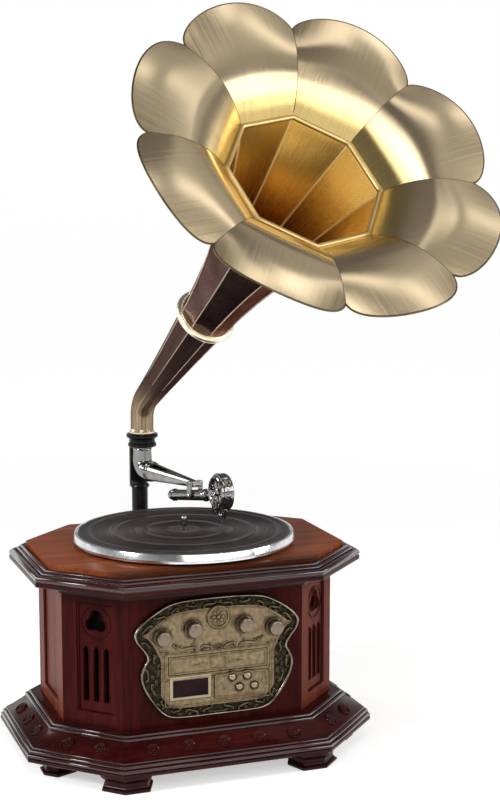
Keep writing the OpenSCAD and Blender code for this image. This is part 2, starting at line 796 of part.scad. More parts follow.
pin_z = arm_z - pin_drop;
pivot_flange = 2.5;
pivot_flange_h = 2;
fork_half = 4;
fork_drop = 4.5;
module tonearm() color([0.8, 0.8, 0.82]) on_arm() {
    translate([0, 0, arm_z]) sphere(r = knee_r);
    translate([0, 0, arm_z]) cylinder(r = knee_r, h = collar_z - swivel_gap - arm_z);
    translate([0, 0, collar_z - past]) cylinder(r = pivot_r, h = ledge_h + swivel_gap + 2 * past);
    translate([0, 0, collar_z + ledge_h + swivel_gap])
        cylinder(r = pivot_r + pivot_flange, h = pivot_flange_h);
    arm_bar(0, arm_z, arm_end + past, knee_r + arm_swell, arm_end_r);
    slab([-cheek_in - cheek_t, -pin_at - fork_half, arm_z - fork_half],
        [cheek_in + cheek_t, -pin_at + fork_half, arm_z + fork_half]);
    for (s = [0, 1]) mirror([s, 0, 0])
        slab([cheek_in, -pin_at - fork_half, pin_z - fork_drop],
            [cheek_in + cheek_t, -pin_at + fork_half, arm_z]);
    translate([-cheek_in - past, -pin_at, pin_z]) rotate([0, 90, 0])
        cylinder(r = pin_r, h = 2 * (cheek_in + past));
}

// The tube under the arm that carries the soundbox and rocks on the pin
module head_tube() color([0.8, 0.8, 0.82]) on_arm() difference() {
    union() {
        translate([0, -pin_at, pin_z]) rotate([90 - head_slope, 0, 0]) {
            translate([0, 0, -head_back]) cylinder(r = head_r, h = head_back + head_front);
            translate([0, 0, -head_back]) sphere(r = head_r);
        }
    }
    translate([-cheek_in, -pin_at, pin_z]) rotate([0, 90, 0])
        cylinder(r = pin_r + pin_gap, h = 2 * cheek_in);
}

// The soundbox: a drum with a stepped front, a neck to the tube and a needle socket
soundbox_z = pin_z + soundbox_rise;
socket_ahead = 9;
socket_at = soundbox_at + socket_ahead;
socket_z = soundbox_z - soundbox_r + 1;
socket_r = 3;
socket_h = 16;
socket_low = 9;
needle_angle = 19;
needle_r = 1;
needle_tip_r = 0.2;
needle_point = 4;
needle_gap = 0.3;
needle_tip_z = mat_z + needle_gap;
box_neck_r = 5;
box_neck_w = 12;
soundbox_profile = [[0, -8], [12, -8], [12, -10], [20, -10], [20, -7], [23, -7], [24.5, -4],
    [24.5, 7], [22, 10], [0, 10]];
module soundbox() color([0.75, 0.75, 0.77]) on_arm() {
    translate([0, -soundbox_at, soundbox_z]) rotate([0, 90, soundbox_angle])
        rotate_extrude() scale(soundbox_r / 24.5) polygon(soundbox_profile);
    intersection() {
        translate([0, -pin_at, pin_z]) rotate([90 - head_slope, 0, 0])
            translate([0, 0, head_front]) cylinder(r = box_neck_r, h = soundbox_at - pin_at - head_front);
        translate([0, -soundbox_at, soundbox_z])
            cube([box_neck_w, 2 * arm_reach, 2 * arm_reach], center = true);
    }
    translate([0, -socket_at, socket_z]) rotate([needle_angle, 0, 0])
        translate([0, 0, -socket_low]) cylinder(r = socket_r, h = socket_h);
}

module needle() color([0.9, 0.9, 0.9]) on_arm()
    translate([0, -socket_at, socket_z]) rotate([needle_angle, 0, 0]) {
        drop = (socket_z - needle_tip_z) / cos(needle_angle);
        translate([0, 0, needle_point - drop]) cylinder(r = needle_r, h = drop - socket_low - needle_point);
        translate([0, 0, -drop]) cylinder(r1 = needle_tip_r, r2 = needle_r, h = needle_point);
    }

// The radius of the horn's corners along its axis, from the ring to the crease
function cone_r(s) = let (x = max(0, s - ring_s - ring_w / 2) / (crease_s - ring_s - ring_w / 2))
    throat_r + (crease_r - throat_r) * (0.37 * x + 0.63 * x * x);
// A radius towards the angle a, between a circle and an octagon of the same corner radius
function facet_r(r, a, share) = let (t = (a - horn_roll) - gore_angle * floor((a - horn_roll) / gore_angle))
    r * (1 - share + share * flat_of / cos(t - gore_angle / 2));

// Places the horn's pieces: local Z is the horn's axis
module on_horn() {
    translate([0, swivel_y, meet_z]) rotate([0, 0, horn_yaw]) rotate([90 - horn_elev, 0, 0])
        children();
}

// The elbow's middle line: [forward, up, lean from upright] at each station
bend_run = bend_r * tan(bend / 2);
bend_z = meet_z - bend_run;
bend_steps = 9;
taper_steps = 8;
elbow_z = collar_z + collar_h + swivel_gap;
spigot_gap = 4;
spigot_z = collar_z + ledge_h + spigot_gap;
elbow_lip = 8;
elbow_line = concat([[0, elbow_z, 0]],
    [for (i = [0:bend_steps]) let (a = bend * i / bend_steps)
        [bend_r * (1 - cos(a)), bend_z + bend_r * sin(a), a]],
    [for (i = [1:taper_steps]) let (s = bend_run + (ring_s - elbow_lip - bend_run) * i / taper_steps)
        [s * cos(horn_elev), meet_z + s * sin(horn_elev), bend]],
    [[ring_s * cos(horn_elev), meet_z + ring_s * sin(horn_elev), bend]]);
elbow_n = len(elbow_line);
function elbow_share(i) = min(1, max(0, (i - 2) / (elbow_n - 4)));
function elbow_ring(i, inset) = let (c = elbow_line[i], share = elbow_share(i),
        r = elbow_r + (throat_r - elbow_r) * pow(share, 1.25) - inset)
    [for (j = [0:23]) let (a = horn_roll + 15 * j, q = facet_r(r, a, share))
        [q * cos(a), -c[0] + q * sin(a) * cos(c[2]), c[1] + q * sin(a) * sin(c[2])]];
elbow_wall = 1.6;
seat_in = 0.5;
seat_t = 4;
module horn_elbow() color([0.5, 0.38, 0.32])
    translate([0, swivel_y, 0]) rotate([0, 0, horn_yaw]) {
        sheet_tube([for (i = [0:elbow_n - 1]) elbow_ring(i, 0)],
            [for (i = [0:elbow_n - 1]) elbow_ring(i, elbow_wall)]);
        difference() {
            union() {
                translate([0, 0, elbow_z + seat_in]) cylinder(r = elbow_r - elbow_wall / 2, h = seat_t);
                translate([0, 0, spigot_z]) cylinder(r = spigot_r, h = elbow_z + seat_in + past - spigot_z);
            }
            translate([0, 0, spigot_z - past])
                cylinder(r = spigot_r - elbow_wall, h = elbow_z + seat_in + seat_t + 2 * past - spigot_z);
        }
    }

ring_round = 2;
module horn_ring() color([0.86, 0.8, 0.66]) on_horn()
    translate([0, 0, ring_s - ring_w / 2]) difference() {
        rotate_extrude() polygon([[0, 0], [ring_r - ring_round, 0], [ring_r, ring_round],
            [ring_r, ring_w - ring_round], [ring_r - ring_round, ring_w], [0, ring_w]]);
        translate([0, 0, -past]) linear_extrude(ring_w + 2 * past)
            rotate(horn_roll) circle(r = throat_r, $fn = 8);
    }

cone_stops = concat([ring_s], [for (i = [0:10])
    let (from = ring_s + ring_w / 2) from + (crease_s - from) * i / 10]);
// The cone's rings turn more and more from the axis to the bell's mouth
function ring_turn(s) = -bell_angle * pow((s - ring_s) / (crease_s - ring_s), 2);
function cone_ring(s, inset) = [for (k = [0:7]) let (a = horn_roll + gore_angle * k, r = cone_r(s) - inset)
    [r * cos(a) * cos(ring_turn(s)), r * sin(a), s - r * cos(a) * sin(ring_turn(s))]];
module horn_cone() color([0.34, 0.22, 0.2]) on_horn() sheet_tube(
    [for (s = cone_stops) cone_ring(s, 0)],
    [for (s = cone_stops) cone_ring(s, sheet_t / flat_of)]);

// A petal in its own frame: a row of points across it at each distance from the crease
petal_rows = 12;
tip_rows = 6;
petal_across = 6;
seam_gap = 0.1;
flat_crease = (crease_r - sheet_t / flat_of) * flat_of;
flat_notch = notch_r * flat_of;
half_notch = flat_notch * tan(gore_angle / 2);
tip_angle = 84;
function flare_t(flat) = (flat - flat_crease) / (flat_notch - flat_crease);
// The petal's surface along the axis: it flares, and its middle stands ahead of its seams
function petal_s(t, y) = crease_s + flare_depth * (1 - exp(-flare_ratio * t))
    - petal_crown * pow(min(1, t) * y / half_notch, 2);
// Rows of [distance of the flat from the axis, half width]
petal_lines = concat(
    [for (i = [0:petal_rows]) let (f = flat_crease + (flat_notch - flat_crease) * i / petal_rows)
        [f, f * tan(gore_angle / 2) - seam_gap]],
    [for (i = [1:tip_rows]) let (a = tip_angle * i / tip_rows)
        [flat_notch + petal_out * sin(a), (half_notch - seam_gap) * cos(a)]]);
// The back's direction turns from the cone's wall to the petal's normal
turn_ratio = 0.25;
function petal_lean(t) = min(1, t / turn_ratio)
    * atan2(flat_notch - flat_crease, flare_depth * flare_ratio * exp(-flare_ratio * t));
function petal_row(line, back) = let (t = flare_t(line[0]), lean = petal_lean(t))
    [for (j = [0:petal_across]) let (y = line[1] * (2 * j / petal_across - 1))
        [line[0] + back * cos(lean), y, petal_s(t, y) - back * sin(lean)]];
module horn_petal(k) color([0.78, 0.72, 0.58]) on_horn()
    translate([0, 0, crease_s]) rotate([0, -bell_angle, 0]) rotate(horn_roll + gore_angle * (k - 0.5))
    translate([0, 0, -crease_s]) {
        rings = [for (line = petal_lines)
            let (front = petal_row(line, 0), behind = petal_row(line, sheet_t))
            concat(front, [for (j = [petal_across:-1:0]) behind[j]])];
        n = 2 * (petal_across + 1);
        last = (len(rings) - 1) * n;
        cap = [for (j = [0:petal_across - 1])
            each [[j, j + 1, n - 2 - j], [j, n - 2 - j, n - 1 - j]]];
        polyhedron(joined(rings), concat(band(len(rings), n, 0, true), cap,
            [for (f = cap) [f[2] + last, f[1] + last, f[0] + last]]), convexity = 6);
    }
module horn_petal_1() horn_petal(1);
module horn_petal_2() horn_petal(2);
module horn_petal_3() horn_petal(3);
module horn_petal_4() horn_petal(4);
module horn_petal_5() horn_petal(5);
module horn_petal_6() horn_petal(6);
module horn_petal_7() horn_petal(7);
module horn_petal_8() horn_petal(8);

feet();
base_board();
plinth_moulding();
frieze_rosettes();
front_panel();
front_right_panel();
right_panel();
back_right_panel();
back_panel();
back_left_panel();
left_panel();
front_left_panel();
speaker_cloths();
speakers();
top_moulding();
top_board();
front_plaque();
medallion();
display_frame();
display_window();
button_plate();
button_1();
button_2();
button_3();
button_4();
knob_1();
knob_2();
knob_3();
knob_4();
control_board();
main_board();
power_inlet();
drawer_front();
disc_tray();
tray_deck();
motor();
motor_pulley();
drive_belt();
drive_wheel();
platter_bearing();
platter();
platter_mat();
spindle();
horn_bracket();
bracket_screws();
tonearm();
head_tube();
soundbox();
needle();
horn_elbow();
horn_ring();
horn_cone();
horn_petal_1();
horn_petal_2();
horn_petal_3();
horn_petal_4();
horn_petal_5();
horn_petal_6();
horn_petal_7();
horn_petal_8();
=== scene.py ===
"""The looks of a table gramophone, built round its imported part.

Sizes are millimetres in the part's frame, and add_piece scales them to metres.
"""

import json
from math import acos, atan2, cos, degrees, exp, log, pi, radians, sin, sqrt, tan

import bmesh
import bpy
from mathutils import Matrix, Vector


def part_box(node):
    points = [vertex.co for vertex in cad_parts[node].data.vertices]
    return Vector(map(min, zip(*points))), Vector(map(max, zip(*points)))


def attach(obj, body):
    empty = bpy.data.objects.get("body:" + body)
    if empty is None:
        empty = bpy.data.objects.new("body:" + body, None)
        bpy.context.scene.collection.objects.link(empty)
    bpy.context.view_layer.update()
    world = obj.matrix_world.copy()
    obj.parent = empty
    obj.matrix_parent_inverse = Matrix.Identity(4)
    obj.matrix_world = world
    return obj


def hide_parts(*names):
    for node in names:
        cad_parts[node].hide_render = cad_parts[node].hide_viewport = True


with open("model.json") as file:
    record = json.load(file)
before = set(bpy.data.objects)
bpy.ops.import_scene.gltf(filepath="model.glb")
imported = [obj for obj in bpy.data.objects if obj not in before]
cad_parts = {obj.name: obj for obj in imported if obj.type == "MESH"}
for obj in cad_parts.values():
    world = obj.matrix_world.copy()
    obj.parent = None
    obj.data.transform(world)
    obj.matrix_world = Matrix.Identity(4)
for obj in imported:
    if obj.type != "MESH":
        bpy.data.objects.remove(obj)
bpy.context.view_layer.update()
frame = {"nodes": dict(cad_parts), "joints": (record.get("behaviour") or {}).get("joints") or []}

MM = 0.001
Y, Z = Vector((0, 1, 0)), Vector((0, 0, 1))


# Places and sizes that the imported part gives

def corners(node):
    """A node's lowest and highest corner, in millimetres."""
    low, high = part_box(node)
    return low / MM, high / MM


def middle(node):
    low, high = corners(node)
    return (low + high) / 2


joints = {joint["name"]: joint for joint in frame["joints"]}
front_low, front_high = corners("front_panel")
half_w = corners("right_panel")[1].x
half_d = -front_low.y
corner_leg = half_w - front_high.x
floor_z, wall_top = front_low.z, front_high.z
base_z, plinth_top = (corner.z for corner in corners("plinth_moulding"))
cornice_z = corners("top_moulding")[0].z
deck_front = corners("top_board")[0].y
platter_low, platter_high = corners("platter")
plate_z, mat_z = (corner.z for corner in corners("platter_mat"))
plaque_y = corners("front_plaque")[0].y
swivel = Vector(joints["horn_swivel"]["pos_m"]) / MM
head_pin = Vector(joints["head_lift"]["pos_m"]) / MM
pin_axis = Vector(joints["head_lift"]["axis"])
arm_angle = atan2(-pin_axis.y, -pin_axis.x)


# Points in a plane; angles are degrees

def arc(centre, r, start, end, steps, tall=None):
    """Points on an arc, or on an ellipse's with another half height."""
    angles = [radians(start + (end - start) * i / steps) for i in range(steps + 1)]
    return [(centre[0] + r * cos(a), centre[1] + (tall or r) * sin(a)) for a in angles]


def circle(x, z, r, steps):
    return arc((x, z), r, 0, 360, steps)[:-1]


def heading(angle):
    return Vector((cos(radians(angle)), sin(radians(angle))))


def rectangle(x0, z0, x1, z1, r=0.0):
    """The outline of a rectangle with rounded corners."""
    if not r:
        return [(x0, z0), (x1, z0), (x1, z1), (x0, z1)]
    spots = ((x1 - r, z0 + r, -90), (x1 - r, z1 - r, 0), (x0 + r, z1 - r, 90), (x0 + r, z0 + r, 180))
    return [p for cx, cz, a in spots for p in arc((cx, cz), r, a, a + 90, 5)]


def points_from(x, z, *offsets):
    """Points given by their distances from a place."""
    return [(x + dx, z + dz) for dx, dz in offsets]


def both_ways(half):
    """A profile that is the same on both sides of its middle, from its upper half."""
    return [(r, -z) for r, z in reversed(half)] + half


def smooth(points, steps, closed=True):
    """A curve through the points, with the given steps between two of them."""
    n = len(points)
    points = [Vector(p) for p in points]
    at = (lambda i: points[i % n]) if closed else (lambda i: points[max(0, min(n - 1, i))])
    out = []
    for i in range(n if closed else n - 1):
        a, b, c, d = at(i - 1), at(i), at(i + 1), at(i + 2)
        for t in (k / steps for k in range(steps)):
            out.append(0.5 * (2 * b + (c - a) * t + (2 * a - 5 * b + 4 * c - d) * t * t
                              + (3 * b - a - 3 * c + d) * t ** 3))
    return out if closed else out + [points[-1]]


# Mesh parts: a list of points and a list of faces

def joined(*parts):
    points, faces = [], []
    for part_points, part_faces in parts:
        start = len(points)
        points += part_points
        faces += [tuple(i + start for i in face) for face in part_faces]
    return points, faces


def moved(part, matrix):
    return [matrix @ Vector(p) for p in part[0]], part[1]


def turned(angle, axis):
    return Matrix.Rotation(radians(angle), 4, axis)


def shifted(x, y, z):
    return Matrix.Translation((x, y, z))


def loft(rings, closed=True, capped=False):
    """A skin over rings that have equally many points."""
    n = len(rings[0])
    points = [Vector(p) for ring in rings for p in ring]
    faces = []
    for i in range(len(rings) - 1):
        for j in range(n if closed else n - 1):
            a, b = i * n + j, i * n + (j + 1) % n
            faces.append((a, b, b + n, a + n))
    if capped:
        last = (len(rings) - 1) * n
        faces += [tuple(reversed(range(n))), tuple(range(last, last + n))]
    return points, faces


def around(count):
    """The angles of equal steps round a circle, in radians."""
    return [2 * pi * k / count for k in range(count)]


def lathe(profile, steps, closed=False):
    """A profile of (radius, height) points turned about Z; a closed one makes a ring."""
    outline = list(profile) + ([profile[0]] if closed else [])
    return loft([[(r * cos(a), r * sin(a), z) for a in around(steps)] for r, z in outline])


def tube(path, radius, sides=16, looped=False):
    """A round bar along a path, which can be a loop; radius is a number or one for each point."""
    path = [Vector(p) for p in path]
    n = len(path)
    radii = radius if isinstance(radius, list) else [radius] * n
    rings, side = [], None
    for i, (point, r) in enumerate(zip(path, radii)):
        before, after = ((i - 1) % n, (i + 1) % n) if looped else (max(i - 1, 0), min(i + 1, n - 1))
        tangent = (path[after] - path[before]).normalized()
        side = tangent.orthogonal() if side is None else side
        side = (side - tangent * side.dot(tangent)).normalized()
        other = tangent.cross(side)
        rings.append([point + r * (cos(a) * side + sin(a) * other) for a in around(sides)])
    return loft(rings + [rings[0]]) if looped else loft(rings, capped=True)


def ball(centre, size, rings, steps):
    """An ellipsoid with the given half sizes."""
    shape = lathe(arc((0, 0), 1, -90, 90, rings), steps)
    return moved(shape, Matrix.Translation(centre) @ Matrix.Diagonal((*size, 1)))


def linked(name, data):
    """A new object in the scene."""
    thing = bpy.data.objects.new(name, data)
    bpy.context.scene.collection.objects.link(thing)
    return thing


def plate(outline, depth, holes, bevel):
    """A flat piece in X and Y with holes and rounded edges, from Z = 0 up to its depth."""
    curve = bpy.data.curves.new("outline", "CURVE")
    curve.dimensions, curve.fill_mode = "2D", "BOTH"
    curve.extrude, curve.bevel_depth, curve.bevel_resolution = depth / 2 - bevel, bevel, 2
    curve.offset = -bevel
    for path in [outline, *holes]:
        spline = curve.splines.new("POLY")
        spline.points.add(len(path) - 1)
        for point, xy in zip(spline.points, path):
            point.co = (xy[0], xy[1], 0, 1)
        spline.use_cyclic_u = True
    holder = linked("outline", curve)
    bpy.context.view_layer.update()
    mesh = holder.evaluated_get(bpy.context.evaluated_depsgraph_get()).to_mesh()
    part = ([Vector(v.co) + Z * depth / 2 for v in mesh.vertices], [tuple(p.vertices) for p in mesh.polygons])
    bpy.data.objects.remove(holder)
    bpy.data.curves.remove(curve)
    return part


def upright(x, y, z):
    """Stands a part up at a place: its X stays, its Y becomes Z and its height points to -Y."""
    return shifted(x, y, z) @ turned(90, "X")


def standing(outline, y, depth, holes, bevel):
    """A plate drawn in X and Z, from a back face at y towards -Y."""
    return moved(plate(outline, depth, holes, bevel), upright(0, y, 0))


def add_piece(name, part, look, body, *nodes, sharp=35, uv=None):
    """Makes a piece from a part in millimetres, which rides on a body and stands for nodes."""
    mesh = bpy.data.meshes.new(name)
    mesh.from_pydata([Vector(p) * MM for p in part[0]], [], part[1])
    if uv:
        layer = mesh.uv_layers.new(name="along")
        for loop in mesh.loops:
            layer.data[loop.index].uv = uv[loop.vertex_index]
    work = bmesh.new()
    work.from_mesh(mesh)
    bmesh.ops.remove_doubles(work, verts=work.verts, dist=1e-6)
    bmesh.ops.recalc_face_normals(work, faces=work.faces)
    work.to_mesh(mesh)
    work.free()
    for polygon in mesh.polygons:
        polygon.use_smooth = True
    mesh.set_sharp_from_angle(angle=radians(sharp))
    mesh.materials.append(looks[look])
    piece = linked(name, mesh)
    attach(piece, body)
    if nodes:
        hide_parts(*nodes)


# Materials: noise in the part's frame gives each its grain, patina or brushing

looks = {}


def shader_socket(material, name):
    """A socket of the material's shader; its name has underscores for blanks."""
    return material.node_tree.nodes["Principled BSDF"].inputs[name.replace("_", " ")]


def new_material(name, **sockets):
    """A material with the sockets that are the same all over set; looks has it by its name."""
    material = looks[name] = bpy.data.materials.new(name)
    material.use_nodes = True
    for socket, value in sockets.items():
        shader_socket(material, socket).default_value = value
    return material


def feed(material, **sources):
    for socket, source in sources.items():
        material.node_tree.links.new(source, shader_socket(material, socket))


def add_node(owner, kind, output, sockets, **settings):
    """An output of a new node, whose sockets get values or other nodes' outputs."""
    node = owner.node_tree.nodes.new("ShaderNode" + kind)
    for key, value in settings.items():
        setattr(node, key, value)
    for key, value in sockets.items():
        if isinstance(value, bpy.types.NodeSocket):
            owner.node_tree.links.new(value, node.inputs[key])
        else:
            node.inputs[key].default_value = value
    return node.outputs[output]


def coordinates(owner, source):
    return add_node(owner, "TexCoord", source, {})


def noise(material, scale, stretch=(1, 1, 1), detail=4.0, distortion=0.0, source="Object"):
    """Noise with about this many features in a metre, drawn out along an axis by a small stretch."""
    mapped = add_node(material, "Mapping", "Vector", {"Vector": coordinates(material, source), "Scale": stretch})
    return add_node(material, "TexNoise", "Fac",
                    {"Vector": mapped, "Scale": scale, "Detail": detail, "Distortion": distortion})


def ramp(owner, factor, *stops):
    """A colour, or a grey value, for each value of a factor."""
    colour = add_node(owner, "ValToRGB", "Color", {"Fac": factor})
    elements = colour.node.color_ramp.elements
    while len(elements) < len(stops):
        elements.new(0.5)
    for element, (position, tone) in zip(elements, stops):
        element.position = position
        element.color = (*tone, 1) if isinstance(tone, tuple) else (tone, tone, tone, 1)
    return colour


def maths(material, operation, *values):
    return add_node(material, "Math", 0, dict(enumerate(values)), operation=operation)


def blended(material, a, b, share):
    """A mix of two factors."""
    return maths(material, "MULTIPLY_ADD", b, share, maths(material, "MULTIPLY", a, 1 - share))


def mixed(owner, share, a, b):
    """A colour that changes from one to another with a factor."""
    return add_node(owner, "Mix", "Result", {"Factor": share, "A": a, "B": b}, data_type="RGBA")


def rising(owner, value, start, end):
    """A factor that rises softly from 0 to 1 between two values."""
    return add_node(owner, "MapRange", "Result", {"Value": value, "From Min": start, "From Max": end},
                    interpolation_type="SMOOTHSTEP")


def rising_along(material, source, start, end):
    """A factor that rises between two places on the Y axis, in metres; a sheet's own Y runs along it."""
    along = add_node(material, "SeparateXYZ", "Y", {"Vector": coordinates(material, source)})
    return rising(material, along, start, end)


def bumped(material, height, depth, strength, edge=0.0):
    """Relief of a depth in millimetres; an edge radius rounds sharp edges in the light."""
    sockets = {"Height": height, "Strength": strength, "Distance": depth * MM}
    if edge:
        sockets["Normal"] = add_node(material, "Bevel", "Normal", {"Radius": edge * MM}, samples=4)
    feed(material, Normal=add_node(material, "Bump", "Normal", sockets))


def coated(material, colour, factor, rough, worn):
    """Gives a material its colour, and a roughness that grows with a factor."""
    feed(material, Base_Color=colour, Roughness=ramp(material, factor, (0.3, rough), (0.7, rough + worn)))


def scaled(tone, share):
    return tuple(share * c for c in tone)


# Painted shade on the deck: what is left of its tone at its front edge, and how far in the painted shade reaches
deck_painted_shade, deck_painted_shade_run = 0.3, 34.0


def wood(name, dark, mid, light, along, gloss, coat, sheen=0.08, polish=1.42, front=None):
    """Lacquered wood with its grain along an axis; polish is the lacquer's index, front an edge towards which shade is
    painted into its colour.
    """
    material = new_material(name, Coat_Weight=coat, Coat_Roughness=0.09, Coat_IOR=polish, Specular_IOR_Level=sheen)
    draw = [0.07 if axis == along else 1.0 for axis in "xyz"]
    figure, pores = noise(material, 26, draw, 5, 1.2), noise(material, 420, draw, 3)
    grain = blended(material, figure, pores, 0.35)
    colour = ramp(material, grain, (0.34, dark), (0.5, mid), (0.66, light))
    # Painted shade: the colour darkens towards the front edge, for the platter's shadow and dark reflection there
    if front is not None:
        share = rising_along(material, "Object", front * MM, (front + deck_painted_shade_run) * MM)
        painted_shade_tone = ramp(material, grain, (0.34, scaled(dark, deck_painted_shade)), (0.66, scaled(light, deck_painted_shade)))
        colour = mixed(material, share, painted_shade_tone, colour)
    coated(material, colour, pores, gloss, 0.14)
    bumped(material, pores, 0.12, 0.3, edge=0.9)


def metal(name, dull, bright, rough, worn=0.1, scale=40, scratch=700, tint=(1, 1, 1)):
    """Metal whose colour and gloss drift, with fine scratches; tint is how it reflects aslant."""
    material = new_material(name, Metallic=1.0, Specular_Tint=(*tint, 1))
    fine = noise(material, scratch, detail=2)
    drift = blended(material, noise(material, scale), fine, 0.3)
    coated(material, ramp(material, drift, (0.35, dull), (0.65, bright)), fine, rough, worn)
    bumped(material, fine, 0.05, 0.15)


def brushed(name, dull, bright, rough, painted_deep, deep_end, full_start):
    """Sheet metal brushed along its length, so that highlights run across it; a deeper colour towards its start is
    painted shade and reflection of the horn's own gold.
    """
    material = new_material(name, Metallic=1.0, Anisotropic=0.85)
    lines = noise(material, 420, (1, 0.015, 1), 2, source="UV")
    look = blended(material, noise(material, 14, (1, 0.5, 1), 2, source="UV"), lines, 0.5)
    # Painted shade and reflection: a deeper colour towards the start, for the horn's own gold reflected and shaded deep
    # in it
    inner = ramp(material, look, (0.35, scaled(painted_deep, 0.8)), (0.65, painted_deep))
    outer = ramp(material, look, (0.35, dull), (0.65, bright))
    share = rising_along(material, "UV", deep_end, full_start)
    coated(material, mixed(material, share, inner, outer), lines, rough, 0.04)
    feed(material, Tangent=add_node(material, "Tangent", "Tangent", {}, direction_type="UV_MAP", uv_map="along"))
    bumped(material, lines, 0.01, 0.06)


def faded(name, low, high, low_end, high_start, rough, tint):
    """Lacquered metal whose colour changes along its length, between two distances in metres, with streaks."""
    material = new_material(name, Metallic=0.9, Specular_Tint=(*tint, 1), Specular_IOR_Level=0.1)
    streaks = noise(material, 90, (1, 0.07, 1), 3, source="UV")
    bare = ramp(material, streaks, (0.36, scaled(low, 0.25)), (0.5, scaled(low, 0.6)), (0.64, low))
    lacquered = ramp(material, streaks, (0.35, scaled(high, 0.75)), (0.65, high))
    share = rising_along(material, "UV", low_end, high_start)
    coated(material, mixed(material, share, bare, lacquered), streaks, rough, 0.1)
    bumped(material, streaks, 0.04, 0.1)


def cast_brass(name, recess, body, bright, worn=0.3):
    """Cast brass whose colour follows occlusion: darker in its recesses, which paints shade there along with the
    patina, and lighter on open faces; worn is the share of its patches.
    """
    material = new_material(name, Metallic=1.0)
    # Painted shade: occlusion darkens the colour in recesses along with the patina there, and lightens open faces
    shade = add_node(material, "AmbientOcclusion", "AO", {"Distance": 5 * MM}, samples=6)
    patina = noise(material, 190, detail=6)
    look = blended(material, shade, patina, worn)
    feed(material, Base_Color=ramp(material, look, (0.3, recess), (0.62, body), (0.86, bright)),
         Roughness=ramp(material, look, (0.35, 0.6), (0.85, 0.32)))
    bumped(material, patina, 0.5, 0.55)


def plain(name, dark, light, rough, scale, depth=0.1, **sockets):
    """Plastic, paint or rubber: a fine grain and a slight drift of its colour."""
    material = new_material(name, **sockets)
    grain = noise(material, scale, detail=5)
    coated(material, ramp(material, noise(material, 30), (0.35, dark), (0.65, light)), grain, rough, 0.12)
    bumped(material, grain, depth, 0.3, edge=0.4)


def ringed(name, dark, light, rough):
    """Rubber whose tone and gloss change from ring to ring round the upright axis; the rings of lighter and darker tone
    are painted sheen.
    """
    material = new_material(name, Specular_IOR_Level=0.35)
    place = coordinates(material, "Object")
    flat = add_node(material, "VectorMath", "Vector", {0: place, 1: (1, 1, 0)}, operation="MULTIPLY")
    radius = add_node(material, "VectorMath", "Value", {0: flat}, operation="LENGTH")
    rings = add_node(material, "TexNoise", "Fac", {"W": radius, "Scale": 60.0, "Detail": 3.0}, noise_dimensions="1D")
    look = blended(material, rings, noise(material, 16), 0.4)
    feed(material, Base_Color=ramp(material, look, (0.38, dark), (0.62, light)),
         Roughness=ramp(material, rings, (0.35, rough), (0.65, rough + 0.25)))
    bumped(material, noise(material, 900, detail=5), 0.1, 0.3)


def woven(name, dark, light):
    """Cloth with a plain weave."""
    material = new_material(name, Roughness=0.9, Specular_IOR_Level=0.0)
    threads = {"Vector": coordinates(material, "Object"), "Scale": 260.0, "Distortion": 0.6}
    ways = [add_node(material, "TexWave", "Fac", threads, bands_direction=way) for way in ("DIAGONAL", "Z")]
    weave = blended(material, *ways, 0.5)
    feed(material, Base_Color=ramp(material, weave, (0.2, dark), (0.8, light)))
    bumped(material, weave, 0.4, 0.6)


wood("mahogany", (0.019, 0.0019, 0.0024), (0.04, 0.004, 0.0045), (0.068, 0.0095, 0.0072), "z", 0.28, 0.02, 0.04)
# A lighter, more orange copy of the mahogany for the side boards: painted light, for the stronger light on the sides
# than on the front
wood("mahogany_painted_light", (0.052, 0.0084, 0.0044), (0.116, 0.022, 0.0104), (0.185, 0.043, 0.0175), "z", 0.28, 0.0, 0.03)
wood("mahogany_across", (0.013, 0.0014, 0.0018), (0.029, 0.0031, 0.0035), (0.053, 0.0077, 0.006), "x", 0.16, 0.3, 0.04)
wood("polished", (0.013, 0.0016, 0.002), (0.029, 0.0034, 0.0038), (0.053, 0.008, 0.0065), "x", 0.16, 1.0, 0.04, 1.6)
# A darker copy of the mahogany for the feet: painted shade, for the shadow under the plinth
wood("foot_painted_shade", (0.01, 0.0014, 0.0018), (0.022, 0.0028, 0.0032), (0.042, 0.0065, 0.0055), "z", 0.24, 0.15)
# The deck's veneer, with painted shade towards its front edge
wood("veneer", (0.122, 0.0255, 0.0088), (0.225, 0.053, 0.0168), (0.34, 0.094, 0.029), "x", 0.36, 0.03, 0.04,
     front=deck_front)
wood("raw_wood", (0.2, 0.11, 0.05), (0.3, 0.18, 0.09), (0.4, 0.26, 0.14), "x", 0.6, 0.0)
# The cast brasses below carry painted shade in their recesses, from occlusion
cast_brass("cast_brass", (0.006, 0.005, 0.003), (0.055, 0.043, 0.025), (0.16, 0.128, 0.078), 0.5)
cast_brass("ground_brass", (0.003, 0.0025, 0.0016), (0.017, 0.0135, 0.009), (0.055, 0.045, 0.03), 0.6)
metal("plaque_rim", (0.1, 0.08, 0.06), (0.34, 0.285, 0.22), 0.2, scratch=900)
cast_brass("panel_brass", (0.012, 0.0085, 0.0045), (0.145, 0.105, 0.06), (0.295, 0.22, 0.132), 0.5)
cast_brass("knob_brass", (0.011, 0.0082, 0.0044), (0.09, 0.068, 0.046), (0.225, 0.178, 0.134))
metal("pale_brass", (0.68, 0.56, 0.37), (0.86, 0.76, 0.57), 0.2, scratch=900)
metal("dull_brass", (0.28, 0.226, 0.146), (0.43, 0.358, 0.25), 0.26, scratch=900)
metal("ring_brass", (0.88, 0.77, 0.55), (0.97, 0.88, 0.68), 0.24, scratch=900)
